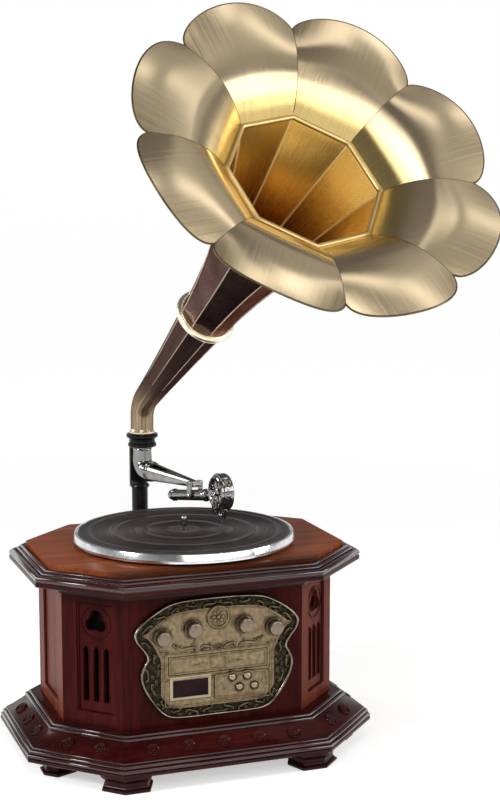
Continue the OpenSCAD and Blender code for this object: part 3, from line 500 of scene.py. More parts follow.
# Petals: a deeper gold near the crease, painted in for the reflection of the horn's own gold there
brushed("petal_brass", (0.74, 0.58, 0.36), (0.86, 0.69, 0.45), 0.19, (0.78, 0.58, 0.23), 0.1, 0.135)
metal("fold_brass", (0.6, 0.45, 0.19), (0.74, 0.57, 0.27), 0.3, scratch=1500)
metal("rim_brass", (0.08, 0.06, 0.03), (0.16, 0.12, 0.065), 0.35)
# The cone's lining: darker, more orange brass towards the throat, painted in for shade and gold-on-gold reflection deep
# in the horn
brushed("throat_brass", (0.72, 0.53, 0.23), (0.86, 0.66, 0.32), 0.24, (0.4, 0.2, 0.07), 0.30, 0.46)
metal("horn_lacquer", (0.105, 0.067, 0.062), (0.18, 0.118, 0.108), 0.24, scale=25, scratch=900, tint=(0.34, 0.28, 0.26))
metal("seam_gold", (0.95, 0.74, 0.4), (1.0, 0.86, 0.54), 0.55)
metal("seam_metal", (0.4, 0.3, 0.24), (0.6, 0.48, 0.4), 0.25)
faded("elbow_bronze", (0.52, 0.38, 0.25), (0.1, 0.066, 0.06), 0.025, 0.1, 0.32, (0.26, 0.2, 0.18))
metal("chrome", (0.25, 0.245, 0.24), (0.37, 0.365, 0.36), 0.06, 0.05, 60, tint=(0.6, 0.6, 0.6))
metal("steel", (0.4, 0.4, 0.41), (0.62, 0.62, 0.63), 0.25, 0.15, 120)
metal("platter_metal", (0.66, 0.67, 0.69), (0.84, 0.85, 0.87), 0.12, 0.06, 90)
metal("bearing_brass", (0.5, 0.37, 0.15), (0.7, 0.55, 0.27), 0.25)
# The mat's rings of lighter and darker tone are painted sheen
ringed("mat_rubber", (0.005, 0.0038, 0.0042), (0.05, 0.0385, 0.0365), 0.3)
plain("belt_rubber", (0.012, 0.012, 0.012), (0.025, 0.025, 0.025), 0.6, 900)
plain("black_iron", (0.0025, 0.0022, 0.0022), (0.008, 0.007, 0.007), 0.25, 350, 0.12, Specular_IOR_Level=0.12,
      Coat_Weight=0.1)
plain("black_plastic", (0.01, 0.01, 0.011), (0.022, 0.022, 0.023), 0.45, 600)
plain("grey_plastic", (0.08, 0.082, 0.09), (0.13, 0.133, 0.14), 0.5, 600)
plain("circuit", (0.006, 0.06, 0.022), (0.014, 0.1, 0.04), 0.35, 200, 0.2)
plain("display_glass", (0.004, 0.0015, 0.002), (0.02, 0.006, 0.009), 0.04, 40, 0.0, Specular_IOR_Level=0.08)
woven("cloth", (0.0015, 0.0015, 0.0015), (0.008, 0.007, 0.007))


# The cabinet's outline and its mouldings

def octagon(out):
    """The body's eight corners, moved out by a distance."""
    w, d = half_w + out, half_d + out
    leg = corner_leg + out * (2 - sqrt(2))
    return [Vector(p) for p in ((leg - w, -d), (w - leg, -d), (w, leg - d), (w, d - leg),
                                (w - leg, d), (leg - w, d), (-w, d - leg), (-w, leg - d))]


def moulding(profile):
    """A profile of (overhang, height) points all round the octagon."""
    rings = [[(*octagon(out)[k], z) for out, z in profile] for k in range(8)]
    return loft(rings + [rings[0]])


def on_side(side, out, z=0.0):
    """The place in the middle of a side of the octagon: X along it, -Y outwards."""
    a, b = octagon(out)[side], octagon(out)[(side + 1) % 8]
    return shifted((a.x + b.x) / 2, (a.y + b.y) / 2, z) @ turned(45 * side, "Z")


def bead_lines(beads):
    return [point for out, z, r, *sweep in beads for point in arc((out, z), r, *sweep)]


plinth_out = -corners("plinth_moulding")[0].y - half_d
cornice_out = -corners("top_moulding")[0].y - half_d
top_out = -deck_front - half_d
# A bead: its middle's overhang and height, its radius, and its arc's start, end and steps
plinth_beads = ((plinth_out - 2.6, base_z + 6.9, 2.5, -70, 100, 12),
                (plinth_out - 5.2, base_z + 11.5, 2.5, -60, 110, 12),
                (plinth_out - 7.6, base_z + 15.2, 1.3, -60, 120, 8),
                (16.6, base_z + 34.2, 2.2, -50, 125, 10), (12.4, base_z + 37.1, 2.2, -50, 125, 10))
cornice_beads = ((cornice_out - 4.5, wall_top - 5, 4.5, -35, 125, 14),
                 (cornice_out - 10.5, wall_top - 0.2, 2.2, -30, 130, 10),
                 (cornice_out - 14.5, wall_top + 3.2, 2.0, -40, 130, 10))
frieze_low, frieze_high = Vector((plinth_out - 8.4, base_z + 16.4)), Vector((18.5, base_z + 32.0))
plinth = moulding(
    [(0, base_z)] + points_from(plinth_out, base_z, (-0.8, 0), (0, 0.8), (0, 4.2)) + bead_lines(plinth_beads[:3])
    + [frieze_low, frieze_high] + bead_lines(plinth_beads[3:])
    + points_from(0, plinth_top, (9, -1.4), (4, 0), (0, 0)))
add_piece("plinth", plinth, "mahogany_across", "cabinet", "plinth_moulding", sharp=40)
cornice = moulding(
    points_from(0, cornice_z, (0, 0), (3, 0), (3, 1.5))
    + arc((cornice_out - 6, cornice_z + 1.5), -24, 0, 90, 10, 9.5)
    + points_from(cornice_out, wall_top, (-0.6, -13.6), (0, -13), (0, -9.6)) + bead_lines(cornice_beads)
    + points_from(top_out, wall_top, (1.2, 4.6), (0.2, 3.0), (0.2, 0), (-top_out, 0)))
add_piece("cornice", cornice, "mahogany_across", "cabinet", "top_moulding", sharp=40)
beads = [moulding(arc((out, z), r + 0.1, -60, 110, 14) + [(out - r, z)])
         for out, z, r, *_ in plinth_beads + cornice_beads]
add_piece("beads", joined(*beads), "polished", "cabinet", sharp=40)


# Bosses on the sloping frieze: a dished disc with eight petals round a button

boss = joined(
    lathe([(0, 0.6), (3.0, 0.6), (5.6, 0.5), (6.4, 1.0), (7.2, 2.1), (7.9, 2.2), (8.5, 1.2), (8.5, -1.5)], 40),
    ball((0, 0, 1.0), (2.1, 2.1, 1.4), 6, 14),
    *(ball((*spot, 0.8), (1.5, 1.5, 0.9), 6, 10) for spot in circle(0, 0, 4.3, 8)))
frieze_mid = (frieze_low + frieze_high) / 2
frieze_slope = degrees(atan2(frieze_high.y - frieze_low.y, frieze_low.x - frieze_high.x))
boss_pitch = 44.5
bosses = []
for side, count in enumerate((5, 2, 3, 2, 5, 2, 3, 2)):
    for i in range(count):
        place = on_side(side, *frieze_mid) @ shifted((i - (count - 1) / 2) * boss_pitch, 0, 0)
        bosses.append(moved(boss, place @ turned(frieze_slope, "X")))
add_piece("bosses", joined(*bosses), "mahogany_across", "cabinet", "frieze_rosettes")


# Feet that bend round the plinth's corners: sole, hollow waist and flange

foot_profile = smooth([(0.0, 3.4), (0.8, 2.2), (3.6, 2.0), (5.2, 4.6), (8.5, 6.2), (12.5, 5.8), (16.0, 2.6),
                       (19.0, 0.4), (base_z - 1, 0.0), (base_z, 0.0)], 3, closed=False)
foot_depth = 26.0
foot_sizes = ((44.0, 33.0), (30.0, 22.0))


def foot(k):
    """A foot at a corner; those at the front and back are larger than those at the sides."""
    far, reach = foot_sizes[k % 4 // 2]
    rings = []
    for z, set_back in foot_profile:
        outer, inner = octagon(far - set_back), octagon(far - set_back - foot_depth)
        tips = []
        for line in (outer, inner):
            for towards in (line[k - 1], line[(k + 1) % 8]):
                tips.append(line[k] + (towards - line[k]).normalized() * (reach - set_back))
        ring = [tips[0], outer[k], tips[1], tips[3], inner[k], tips[2]]
        rings.append([(*p, z) for p in ring])
    return loft(rings, capped=True)


# The feet's wood is darkened with painted shade
add_piece("feet_carved", joined(*(foot(k) for k in range(8))), "foot_painted_shade", "cabinet", "feet", sharp=28)


# Trim of the boards: a bead round each sunk field, and rims round the openings

window_half_w, side_half_w = 25.0, 36.0
field_low, field_high, field_deep = floor_z + 44, floor_z + 178, 3.0
lancet_half_w, lancet_pitch, lancet_low, lancet_spring = 4.2, 14.0, floor_z + 57, floor_z + 118
trefoil_z, trefoil_lobe, trefoil_out = floor_z + 155, 8.0, 7.4


def lancet_outline(x):
    """A narrow opening with a pointed head."""
    left, right, wide = x - lancet_half_w, x + lancet_half_w, 2 * lancet_half_w
    head = arc((left, lancet_spring), wide, 0, 60, 8) + arc((right, lancet_spring), wide, 120, 180, 8)[1:]
    return [(left, lancet_low), (right, lancet_low)] + head


def trefoil_outline():
    """Three lobes that meet in cusps."""
    cut = degrees(acos(trefoil_out * cos(radians(60)) / trefoil_lobe)) + 24
    centre = Vector((0, trefoil_z))
    return [point for turn in (90, 210, 330)
            for point in arc(centre + heading(turn) * trefoil_out, trefoil_lobe, turn - cut, turn + cut, 16)]


def rim(outline, r, depth):
    return tube([(x, depth, z) for x, z in outline], r, sides=10, looped=True)


tracery = [rim(lancet_outline(i * lancet_pitch), 0.8, field_deep) for i in (-1, 0, 1)]
tracery += [rim(trefoil_outline(), 0.9, field_deep), rim(circle(0, trefoil_z - 1, 19.5, 64), 1.2, field_deep)]
for name, side, half, rims in (
        ("right_window_trim", 1, window_half_w, tracery), ("left_window_trim", 7, window_half_w, tracery),
        ("right_side_trim", 2, side_half_w, ()), ("left_side_trim", 6, side_half_w, ())):
    bead = rim(rectangle(1 - half, field_low + 1, half - 1, field_high - 1), 1.5, field_deep - 0.6)
    add_piece(name, moved(joined(bead, *rims), on_side(side, 0)), "mahogany", "cabinet")


# Relief on the front plaque, drawn in X and Z and raised towards -Y

def relief(path, width, rise):
    """A rounded ridge along a flat path; width is a function of the share of its length."""
    rings = []
    n = len(path)
    for i, point in enumerate(path):
        ahead = Vector(path[min(i + 1, n - 1)]) - Vector(path[max(i - 1, 0)])
        across = Vector((-ahead.y, ahead.x)).normalized()
        ridge = arc((0, -0.3), width(i / (n - 1)), 0, 180, 8, rise)
        rings.append([(*(Vector(point) + across * out), z) for out, z in ridge])
    return loft(rings, closed=False)


def closed_relief(path, width, rise):
    return relief([*path, *path[:2]], lambda t: width, rise)


def scroll_path(curl, s_shaped, steps=44):
    """A scroll one unit long each way from its middle, rolled up at both ends."""
    halves = []
    for direction in (-1, 1):
        spot, angle, half = Vector((0, 0)), 0.0, [Vector((0, 0))]
        for i in range(steps):
            u = (i + 0.5) / steps
            angle += curl * u ** 2.4 * (1 if s_shaped else direction) / steps
            spot = spot + Vector((cos(angle), sin(angle))) * direction / steps
            half.append(spot)
        halves.append(half)
    return halves[0][::-1] + halves[1][1:]


def scroll(x, z, angle, length, s_shaped, flip, curl, width, rise):
    """A raised scroll with an eye at each end."""
    turn = Matrix.Rotation(radians(angle), 2)
    path = [Vector((x, z)) + turn @ Vector((p.x, p.y * flip)) * length / 2 for p in scroll_path(curl, s_shaped)]
    body = relief(path, lambda t: width * (1.15 - 0.9 * abs(2 * t - 1) ** 1.5), rise)
    return joined(body, *(ball((*path[i], 0.3), (width, width, rise), 6, 12) for i in (0, -1)))


def leaf(x, z, angle, length, width, rise=2.0):
    """A pointed leaf with a raised rib."""
    path = [Vector((x, z)) + heading(angle) * length * i / 10 for i in range(11)]
    blade = relief(path, lambda t: 0.2 + width * sin(pi * min(1, t * 1.05)) ** 0.8, rise * 0.6)
    return joined(blade, relief(path, lambda t: 0.5 * (1.1 - t), rise))


def shell(x, z, angle, size, count=7, spread=150):
    """A fan of ribs round a button."""
    ribs = [leaf(x, z, angle + spread * t, size * (1 - 0.25 * abs(t)), size * 0.16)
            for t in (i / (count - 1) - 0.5 for i in range(count))]
    return joined(ball((x, z, 0.4), (size * 0.2, size * 0.2, 2.4), 6, 14), *ribs)


def mirrored(part):
    twin = ([Vector((-p[0], p[1], p[2])) for p in part[0]], [tuple(reversed(f)) for f in part[1]])
    return joined(part, twin)


def on_plaque(part, y=plaque_y):
    """Stands relief up on the plaque's face, or on another that looks to the front."""
    return moved(part, upright(0, y, 0))


def inset(outline, distance):
    """A closed outline moved inwards along its normals."""
    n = len(outline)
    out = []
    for i in range(n):
        ahead = Vector(outline[(i + 1) % n]) - Vector(outline[i - 1])
        out.append(Vector(outline[i]) + Vector((ahead.y, -ahead.x)).normalized() * distance)
    return out


def face_of(node, margin=0.0, r=0.0):
    """The outline of a node seen from the front, widened by a margin."""
    low, high = corners(node)
    return rectangle(low.x - margin, low.z - margin, high.x + margin, high.z + margin, r)


def circles_at(nodes, r, steps):
    """Circles round the middles of nodes seen from the front."""
    return [circle(middle(node).x, middle(node).z, r, steps) for node in nodes]


half_outline = [(0, 218.5), (30, 218), (57, 215), (77, 206), (94, 194), (104, 182), (102, 170), (93, 158), (89, 149),
                (93, 141), (97, 129), (94, 114), (85, 97), (73, 81), (60, 73), (38, 71), (0, 71)]
plaque_outline = smooth(half_outline + [(-x, z) for x, z in half_outline[-2:0:-1]], 6)
knob_names = [f"knob_{i}" for i in range(1, 5)]
button_names = [f"button_{i}" for i in range(1, 5)]
drawer_low, drawer_high = corners("drawer_front")
slot_gap, glass_lap = 0.5, 2
plaque_holes = [face_of("drawer_front", slot_gap), face_of("display_window", -glass_lap),
                *circles_at(knob_names, 4, 24), *circles_at(button_names, 6.2, 24)]
plaque_body = standing(plaque_outline, -half_d, -half_d - plaque_y, plaque_holes, 0.8)
rim_roll = closed_relief(inset(plaque_outline, 2.0), 1.7, 2.8)
panel_rise, panel_half_w, waist_z = 1.6, 71.0, 148.0


def within_panel(point):
    """Keeps a point of the panel's edge inside straight sides below the plaque's waist."""
    limit = panel_half_w + 1.2 * max(0.0, point.y - waist_z)
    return Vector((max(-limit, min(limit, point.x)), point.y))


band_path = inset(plaque_outline, 9.2)[:len(plaque_outline) // 2 + 1]
band_steps = [0.0]
for start, end in zip(band_path, band_path[1:]):
    band_steps.append(band_steps[-1] + (end - start).length)
scroll_count = 13
scroll_pitch = band_steps[-1] / scroll_count
ornament = [leaf(77, 101 + 12 * i, 60 + 30 * i, 13, 2.4, 2.4) for i in range(4)]
for i in range(scroll_count):
    nearest = min(range(1, len(band_path) - 1), key=lambda j: abs(band_steps[j] - (i + 0.5) * scroll_pitch))
    spot, ahead = band_path[nearest], band_path[nearest + 1] - band_path[nearest - 1]
    angle = degrees(atan2(ahead.y, ahead.x))
    side = 1 if i % 2 else -1
    lean, length = 20 * sin(2.4 * i), scroll_pitch * (1.1 + 0.3 * cos(1.7 * i))
    off = Vector((-ahead.y, ahead.x)).normalized() * 2.4 * side
    ornament += [scroll(*spot, angle + lean, length, i % 3 == 0, side, 22, 1.6, 2.4),
                 leaf(*(spot + off), angle + 150 * side, 8, 2.2, 2.2),
                 leaf(*(spot - off), angle - 40 * side + lean, 9, 2.0, 2.2)]
crest = joined(shell(0, 211, 90, 9), shell(0, 76, -90, 8))
add_piece("plaque", plaque_body, "ground_brass", "cabinet", "front_plaque", sharp=40)
add_piece("plaque_relief", on_plaque(joined(mirrored(joined(*ornament)), crest)), "cast_brass", "cabinet", sharp=40)
add_piece("plaque_rim", on_plaque(rim_roll), "plaque_rim", "cabinet")

panel_outline = [within_panel(point) for point in inset(plaque_outline, 14.5)]
cresting = mirrored(joined(
    scroll(40, 157.5, -8, 46, True, 1, 22, 1.8, 2.2), scroll(14, 158.5, 12, 26, False, -1, 22, 1.6, 2.2),
    scroll(52, 160, 20, 20, False, 1, 20, 1.3, 1.8), leaf(62, 155, 8, 12, 2.4), leaf(4, 155.5, 40, 11, 2.2),
    leaf(22, 154, 160, 10, 2.2), leaf(33, 161, 120, 9, 2.0), leaf(48, 87.5, 12, 10, 2.2)))
panel_trim = joined(
    closed_relief(inset(panel_outline, 1.6), 0.9, 1.0), cresting, shell(0, 153.5, 90, 8, 5, 120),
    closed_relief(rectangle(-66.5, drawer_low.z - 4.2, 66.5, drawer_high.z + 4.2, 2), 0.9, 1.3),
    closed_relief(rectangle(-66.5, 88, 66.5, drawer_low.z - 6.4, 2), 0.8, 1.1),
    *(closed_relief(ring, 0.9, 0.9) for ring in circles_at(knob_names, 12.4, 36)))
panel = joined(plate(panel_outline, panel_rise, plaque_holes, 0.6), moved(panel_trim, shifted(0, 0, panel_rise)))
add_piece("panel", on_plaque(panel), "panel_brass", "cabinet")

spot = middle("medallion")
rosette = joined(
    lathe([(0, 1.0), (9.5, 0.9), (11, 1.2), (12, 2.6), (13.6, 2.9), (15, 1.6), (15, 0)], 56),
    ball((0, 0, 1.4), (2.6, 2.6, 1.9), 8, 20),
    *(moved(ball((6.2, 0, 1.0), (3.4, 1.9, 1.3), 6, 14), turned(45 * k, "Z")) for k in range(8)))
add_piece("rosette", moved(rosette, upright(spot.x, plaque_y - 0.5 * panel_rise, spot.z)), "panel_brass", "cabinet",
          "medallion")

bezel = standing(face_of("display_frame", 0, 1), plaque_y, plaque_y - corners("display_frame")[0].y,
                 [face_of("display_window")], 1.0)
add_piece("bezel", bezel, "dull_brass", "cabinet", "display_frame")

pad_y = corners("button_plate")[0].y
pad = standing(face_of("button_plate", 0, 2), plaque_y, plaque_y - pad_y, circles_at(button_names, 4.9, 28), 0.9)
pad_trim = joined(
    closed_relief(face_of("button_plate", -2.5, 1.5), 0.6, 0.9),
    scroll(4.5, 107, 90, 16, True, 1, 20, 0.9, 1.0), scroll(56.5, 112, 90, 14, True, -1, 20, 0.9, 1.0),
    *(closed_relief(ring, 0.7, 0.9) for ring in circles_at(button_names, 6.3, 28)))
add_piece("pad", joined(pad, on_plaque(pad_trim, pad_y)), "panel_brass", "cabinet", "button_plate")

dome_h = 3.0
for name in button_names:
    low, high = corners(name)
    r, end = (high.x - low.x) / 2 - 1, low.y - high.y
    dome = lathe([(0, dome_h), (1.4, 2.9), (2.8, 2.5), (3.9, 1.7), (r, 0.4), (r, end), (0, end)], 36)
    piece = moved(dome, upright(middle(name).x, low.y + dome_h, middle(name).z))
    add_piece(name + "_cap", piece, "dull_brass", name + "_body", name)


def fluted_knob(r, h):
    """A knob with a fluted grip, a domed face and an indicator ridge."""
    flutes, rows = 24, []
    for z, share, depth in ((0, 0.86, 0), (0.8, 1.0, 0), (2.2, 1.0, 0), (2.8, 0.95, 0.5), (h - 3.4, 0.93, 0.5),
                            (h - 2.6, 0.92, 0), (h - 1.2, 0.86, 0), (h - 0.4, 0.72, 0), (h, 0.5, 0), (h, 0.02, 0)):
        ring = [(r * share - depth * (0.5 - 0.5 * cos(a * flutes)), a) for a in around(flutes * 4)]
        rows.append([(q * cos(a), q * sin(a), z) for q, a in ring])
    mark = relief([(0, r * 0.2 + r * 0.55 * i / 6) for i in range(7)], lambda t: 0.7, 0.9)
    return joined(loft(rows, capped=True), moved(mark, shifted(0, 0, h - 0.3)))


knob_back = plaque_y - 2
for name in knob_names:
    low, high = corners(name)
    end = knob_back - high.y
    shaft = lathe([(0, 0.5), (3, 0.5), (3, end), (0, end)], 24)
    knob = joined(fluted_knob((high.x - low.x) / 2, knob_back - low.y), shaft)
    piece = moved(knob, upright(middle(name).x, knob_back, middle(name).z))
    add_piece(name + "_grip", piece, "knob_brass", name + "_body", name)

door = standing(face_of("drawer_front", 0, 0.6), drawer_high.y, drawer_high.y - drawer_low.y, (), 0.6)
door_mid = middle("drawer_front").z
door_trim = joined(
    closed_relief(face_of("drawer_front", -2.4, 1.2), 0.7, 0.9),
    closed_relief(rectangle(-9.5, door_mid - 7.5, 9.5, door_mid + 7.5, 3), 0.9, 1.2),
    mirrored(joined(scroll(17, door_mid, 0, 11, True, 1, 18, 0.8, 1.0), leaf(23, door_mid, 0, 8, 1.6, 1.2))))
add_piece("door", joined(door, on_plaque(door_trim, drawer_low.y)), "panel_brass", "drawer", "drawer_front")


# The turntable: a turned platter, a ribbed mat and the record pin

platter_r, mat_r, bore_r = platter_high.x, corners("platter_mat")[1].x, 5.05
platter = lathe(
    points_from(0, plate_z, (bore_r, -10), (18, -10), (18, -4), (platter_r - 6, -4))
    + points_from(platter_r, platter_low.z, (-6, 0), (-1.4, 0), (-0.4, 0.8), (-0.4, 2.4), (-1.0, 2.9), (-1.0, 3.5),
                  (0, 4.1))
    + points_from(platter_r, platter_high.z, (-1.7, -1.4), (-2.1, -0.4), (-2.9, 0), (-5.2, 0), (-6, -0.6))
    + [(platter_r - 6, plate_z), (bore_r, plate_z)], 160, closed=True)
add_piece("platter_turned", platter, "platter_metal", "turntable", "platter", sharp=30)

rib_pitch, rib_deep, mat_bore_r, mat_steps = 3.2, 0.55, 5.3, 420
plain_bands = ((mat_bore_r, 22), (46, 54), (84, 91), (118, 124), (129, 140))


def mat_height(r):
    """The mat's top: fine ribs between plain bands."""
    if any(a <= r <= b for a, b in plain_bands):
        return mat_z
    return mat_z - rib_deep * (0.5 - 0.5 * cos(2 * pi * r / rib_pitch)) ** 0.6


mat_radii = [mat_bore_r + (mat_r - 1 - mat_bore_r) * i / mat_steps for i in range(mat_steps + 1)]
mat_profile = [(mat_bore_r, plate_z), *((r, mat_height(r)) for r in mat_radii),
               *points_from(mat_r, mat_z, (-0.3, -0.3), (0, -1)), (mat_r, plate_z)]
add_piece("mat", lathe(mat_profile, 128, closed=True), "mat_rubber", "turntable", "platter_mat", sharp=50)

spindle_low, spindle_high = corners("spindle")
pin_r, pin_dome = 3.57, 4.4
spindle = lathe(
    points_from(0, spindle_low.z, (0, 0), (7.4, 0), (8, 0.6), (8, 3), (5, 3))
    + points_from(0, platter_low.z, (5, -2), (9, -2), (9, 0), (5, 0))
    + points_from(0, mat_z, (5, -0.2), (4.6, 0), (pin_r, 0.6))
    + arc((0, spindle_high.z - pin_dome), pin_r, 0, 90, 8, pin_dome), 48)
add_piece("spindle_turned", spindle, "chrome", "turntable", "spindle")


# The bracket behind the cabinet: plate, bent arm, post, strap and collar

collar_r, collar_h, collar_top = 21.5, 18.0, corners("horn_bracket")[1].z
collar_z = collar_top - collar_h
post_r, post_y = 11.0, swivel.y + 14
plate_half_w, plate_half_h, plate_t = 32.0, 45.0, 6.0
plate_y = half_d + plate_t
arm_mid_z = middle("bracket_screws").z
arm_z, knee_r = mat_z + 44, 13.0
post_top = arm_z - knee_r
arm_bend_r = post_y - plate_y - 10
screw_x, screw_z, screw_hole_r = 24, 37, 2.8
screw_spots = [(x, arm_mid_z + z) for x in (-screw_x, screw_x) for z in (-screw_z, screw_z)]
bracket_plate = standing(
    rectangle(-plate_half_w, arm_mid_z - plate_half_h, plate_half_w, arm_mid_z + plate_half_h, 9), plate_y, plate_t,
    [circle(x, z, screw_hole_r, 24) for x, z in screw_spots], 1.2)
bend_z = arm_mid_z + arm_bend_r
arm_path = [(plate_y - 1, arm_mid_z), *arc((post_y - arm_bend_r, bend_z), arm_bend_r, -90, 0, 16),
            (post_y, bend_z + 40), (post_y, post_top - 8)]
arm_radii = [post_r + 5, post_r + 1.5] + [post_r] * (len(arm_path) - 2)
post_cap = lathe([(0, 0), *points_from(post_r, 0, (1.6, 0), (2.4, 2), (1.6, 4), (0, 5), (0, 9)), (0, 12)], 40)
strap_t = 8
strap = standing(rectangle(1 - knee_r, post_top - 15, knee_r - 1, collar_top - 1, 3),
                 swivel.y + knee_r + 3.5 + strap_t, strap_t, (), 1.2)
collar = lathe(
    [(9.3, 0)] + points_from(collar_r, 0, (-3.5, 0), (-2.2, 1), (-2.2, 4), (-4, 6), (-4, 10.5), (-1.5, 12.5), (0, 13.6),
                             (0, 16.6), (-1, collar_h)) + [(13.3, collar_h), (13.3, 6), (9.3, 6)], 64, closed=True)
set_screw = joined(tube([(0, 0, 0), (0, 0, 7)], 2.2), moved(fluted_knob(5.0, 6.0), shifted(0, 0, 6)))
collar_place = shifted(swivel.x, swivel.y, collar_z)
bracket = joined(
    bracket_plate, tube([(0, y, z) for y, z in arm_path], arm_radii, 28), strap, moved(collar, collar_place),
    moved(post_cap, shifted(0, post_y, post_top - 14)),
    moved(set_screw, collar_place @ turned(100, "Z") @ shifted(collar_r - 5, 0, 8) @ turned(90, "Y")))
add_piece("bracket", bracket, "black_iron", "cabinet", "horn_bracket")

screw = joined(lathe([(5, 0), (5, 0.5), (4.2, 1.7), (2.6, 2.4), (0, 2.6)], 28),
               moved(plate(rectangle(-4.2, -0.5, 4.2, 0.5), 0.6, (), 0.15), shifted(0, 0, 2.2)))
screws = [moved(screw, shifted(x, plate_y, z) @ turned(-90, "X") @ turned(37 * i, "Z"))
          for i, (x, z) in enumerate(screw_spots)]
add_piece("screws", joined(*screws), "steel", "cabinet", "bracket_screws")


# The tonearm: a chrome neck, a knee and a tapering arm with a fork

arm_place = shifted(swivel.x, swivel.y, 0) @ Matrix.Rotation(arm_angle, 4, "Z")
neck_top = collar_z - 0.2
fork_at = (head_pin.xy - swivel.xy).length
pin_z = head_pin.z
knee_bend, knee_steps, taper_steps = 15.0, 12, 14
arm_run = fork_at + 3 - knee_bend
arm_line = [(0, neck_top), (0, neck_top - 6), *arc((-knee_bend, arm_z + knee_bend), knee_bend, 0, -90, knee_steps)]
arm_radii = [knee_r - 0.6] * 2 + [knee_r] * (knee_steps + 1)
for share in ((i + 1) / taper_steps for i in range(taper_steps)):
    arm_line.append((-knee_bend - arm_run * share, arm_z))
    arm_radii.append(knee_r + 0.6 - (knee_r - 4.0) * share)


def band_at(place, direction, r, width, swell):
    """A bead round a bar at a place on it."""
    shape = lathe(both_ways([(r + swell, width / 6), (r + 0.3, width / 2), (r - 0.5, width / 2 + 0.6)]), 40)
    return moved(shape, Matrix.Translation(place) @ direction.to_track_quat("Z", "Y").to_matrix().to_4x4())


cheek_in, cheek_t = 7.6, 2.6
cheek_top = arm_z - pin_z + 3.5
cheek = plate([(-4.2, cheek_top), *arc((0, 0), 4.6, 180, 360, 14), (4.2, cheek_top)], cheek_t, (), 0.5)
pin_half = points_from(0, cheek_in, (2, 2.6), (3.4, 2.6), (3.4, 3.6), (2.2, 4.6), (0, 5.2))
arm = joined(
    tube([(0, y, z) for y, z in arm_line], arm_radii, 40),
    lathe(points_from(0, collar_z, (0, -1), (9, -1), (9, 6.2), (11.5, 6.2), (11.5, 8.2), (0, 8.2)), 40),
    band_at((0, 0, neck_top - 3.2), Z, knee_r - 0.8, 3.2, 1.0),
    band_at((0, -knee_bend - 8, arm_z), Y, knee_r + 0.2, 3.0, 1.1),
    band_at((0, -knee_bend - 13, arm_z), Y, knee_r - 0.4, 2.0, 0.8),
    *(moved(cheek, shifted(x, -fork_at, pin_z) @ turned(90, "Z") @ turned(90, "X"))
      for x in (-cheek_in - cheek_t, cheek_in)),
    moved(plate(rectangle(-cheek_in - cheek_t, -4.2, cheek_in + cheek_t, 4.2, 1.5), 8, (), 1.2),
          shifted(0, -fork_at, arm_z - 4)),
    moved(lathe(both_ways(pin_half), 24), shifted(0, -fork_at, pin_z) @ turned(90, "Y")))
add_piece("arm_tube", moved(arm, arm_place), "chrome", "arm", "tonearm")


# The head: a tube that rocks on the pin, the soundbox and its needle

head_slope, head_r, head_back, head_front = 8.9, 7.2, 52.0, 33.0
head_place = arm_place @ shifted(0, -fork_at, pin_z) @ turned(90 - head_slope, "X")
head = lathe(
    arc((0, -head_back), head_r, -90, 0, 10) + points_from(head_r, -head_back, (0, 3), (1.1, 4), (1.1, 6), (0, 7))
    + points_from(head_r, head_front, (0, -9), (0.9, -8), (1.2, -6.4), (0.3, -5), (0.3, -1), (-1, 0), (-head_r, 0)), 44)
add_piece("head_bar", moved(head, head_place), "chrome", "head", "head_tube")

box_at, box_z, box_r, box_turn = 187.0, pin_z + 13, 24.5, -10.0
box_place = arm_place @ shifted(0, -box_at, box_z) @ turned(box_turn, "Z") @ turned(90, "Y")
drum = lathe([(0, -4.6), (15.5, -4.6), (16.5, -6.8), (18.2, -8.2), (20.2, -8.6), (21.6, -7.6), (22.2, -5.4),
              (23.6, -5.0), (24.4, -3.6), (box_r, -1), (24.0, 0.2), (24.0, 2.0), (box_r, 3.2), (24.3, 6.4),
              (22.8, 8.6), (20, 9.6), (14, 10), (13, 9.2), (6, 9.2), (0, 9.2)], 96)
spoke = relief([(6.2 + 9.8 * i / 10, 1.6 * sin(i / 10 * pi)) for i in range(11)], lambda t: 1.0 - 0.4 * t, 1.6)
grille = joined(
    lathe([(6.6, -0.4), (6.2, 1.2), (4.6, 2.2), (2, 2.8), (0, 2.9)], 32),
    *(moved(spoke, turned(60 * k, "Z")) for k in range(6)),
    *(ball((*spot, 3.8), (1.6, 1.6, 1.0), 6, 12) for spot in circle(0, 0, 18.9, 8)))
lug = ball((24.2, 0, 0), (1.8, 2.8, 4.2), 6, 14)
lever_path = [(0, 0, -8.2), (5, 0, -10.4), (12, 0, -11.6), (19, 0, -11.0), (25, 0, -8.2), (26.5, 0, -5)]
soundbox = joined(
    drum, moved(grille, shifted(0, 0, -4.8) @ turned(180, "X")), tube(lever_path, [1.0, 1.2, 1.4, 1.6, 1.9, 2.2], 14),
    *(moved(lug, turned(60 * k + 30, "Z")) for k in range(6)))
neck_line = [head_place @ Vector((0, 0, head_front - 1 + 22 * i / 6)) for i in range(7)]
socket_lean, socket_at, socket_z = 19.0, box_at + 9, box_z - box_r + 1
socket_place = arm_place @ shifted(0, -socket_at, socket_z) @ turned(socket_lean, "X")
socket = lathe([(0, 7), (3, 6.6), (3.2, 3), (3.8, 2), (3.8, -3), (3.2, -4), (3.0, -8), (2.2, -9), (0, -9)], 28)
thumb = joined(tube([(0, 0, 2), (0, 0, 6)], 1.1, 12), moved(fluted_knob(2.9, 3.6), shifted(0, 0, 5)))
cast = joined(moved(soundbox, box_place), tube(neck_line, 5.0, 28), moved(socket, socket_place),
              moved(thumb, socket_place @ shifted(0, 0, -4) @ turned(-90, "Y")))
add_piece("soundbox_cast", cast, "chrome", "head", "soundbox")

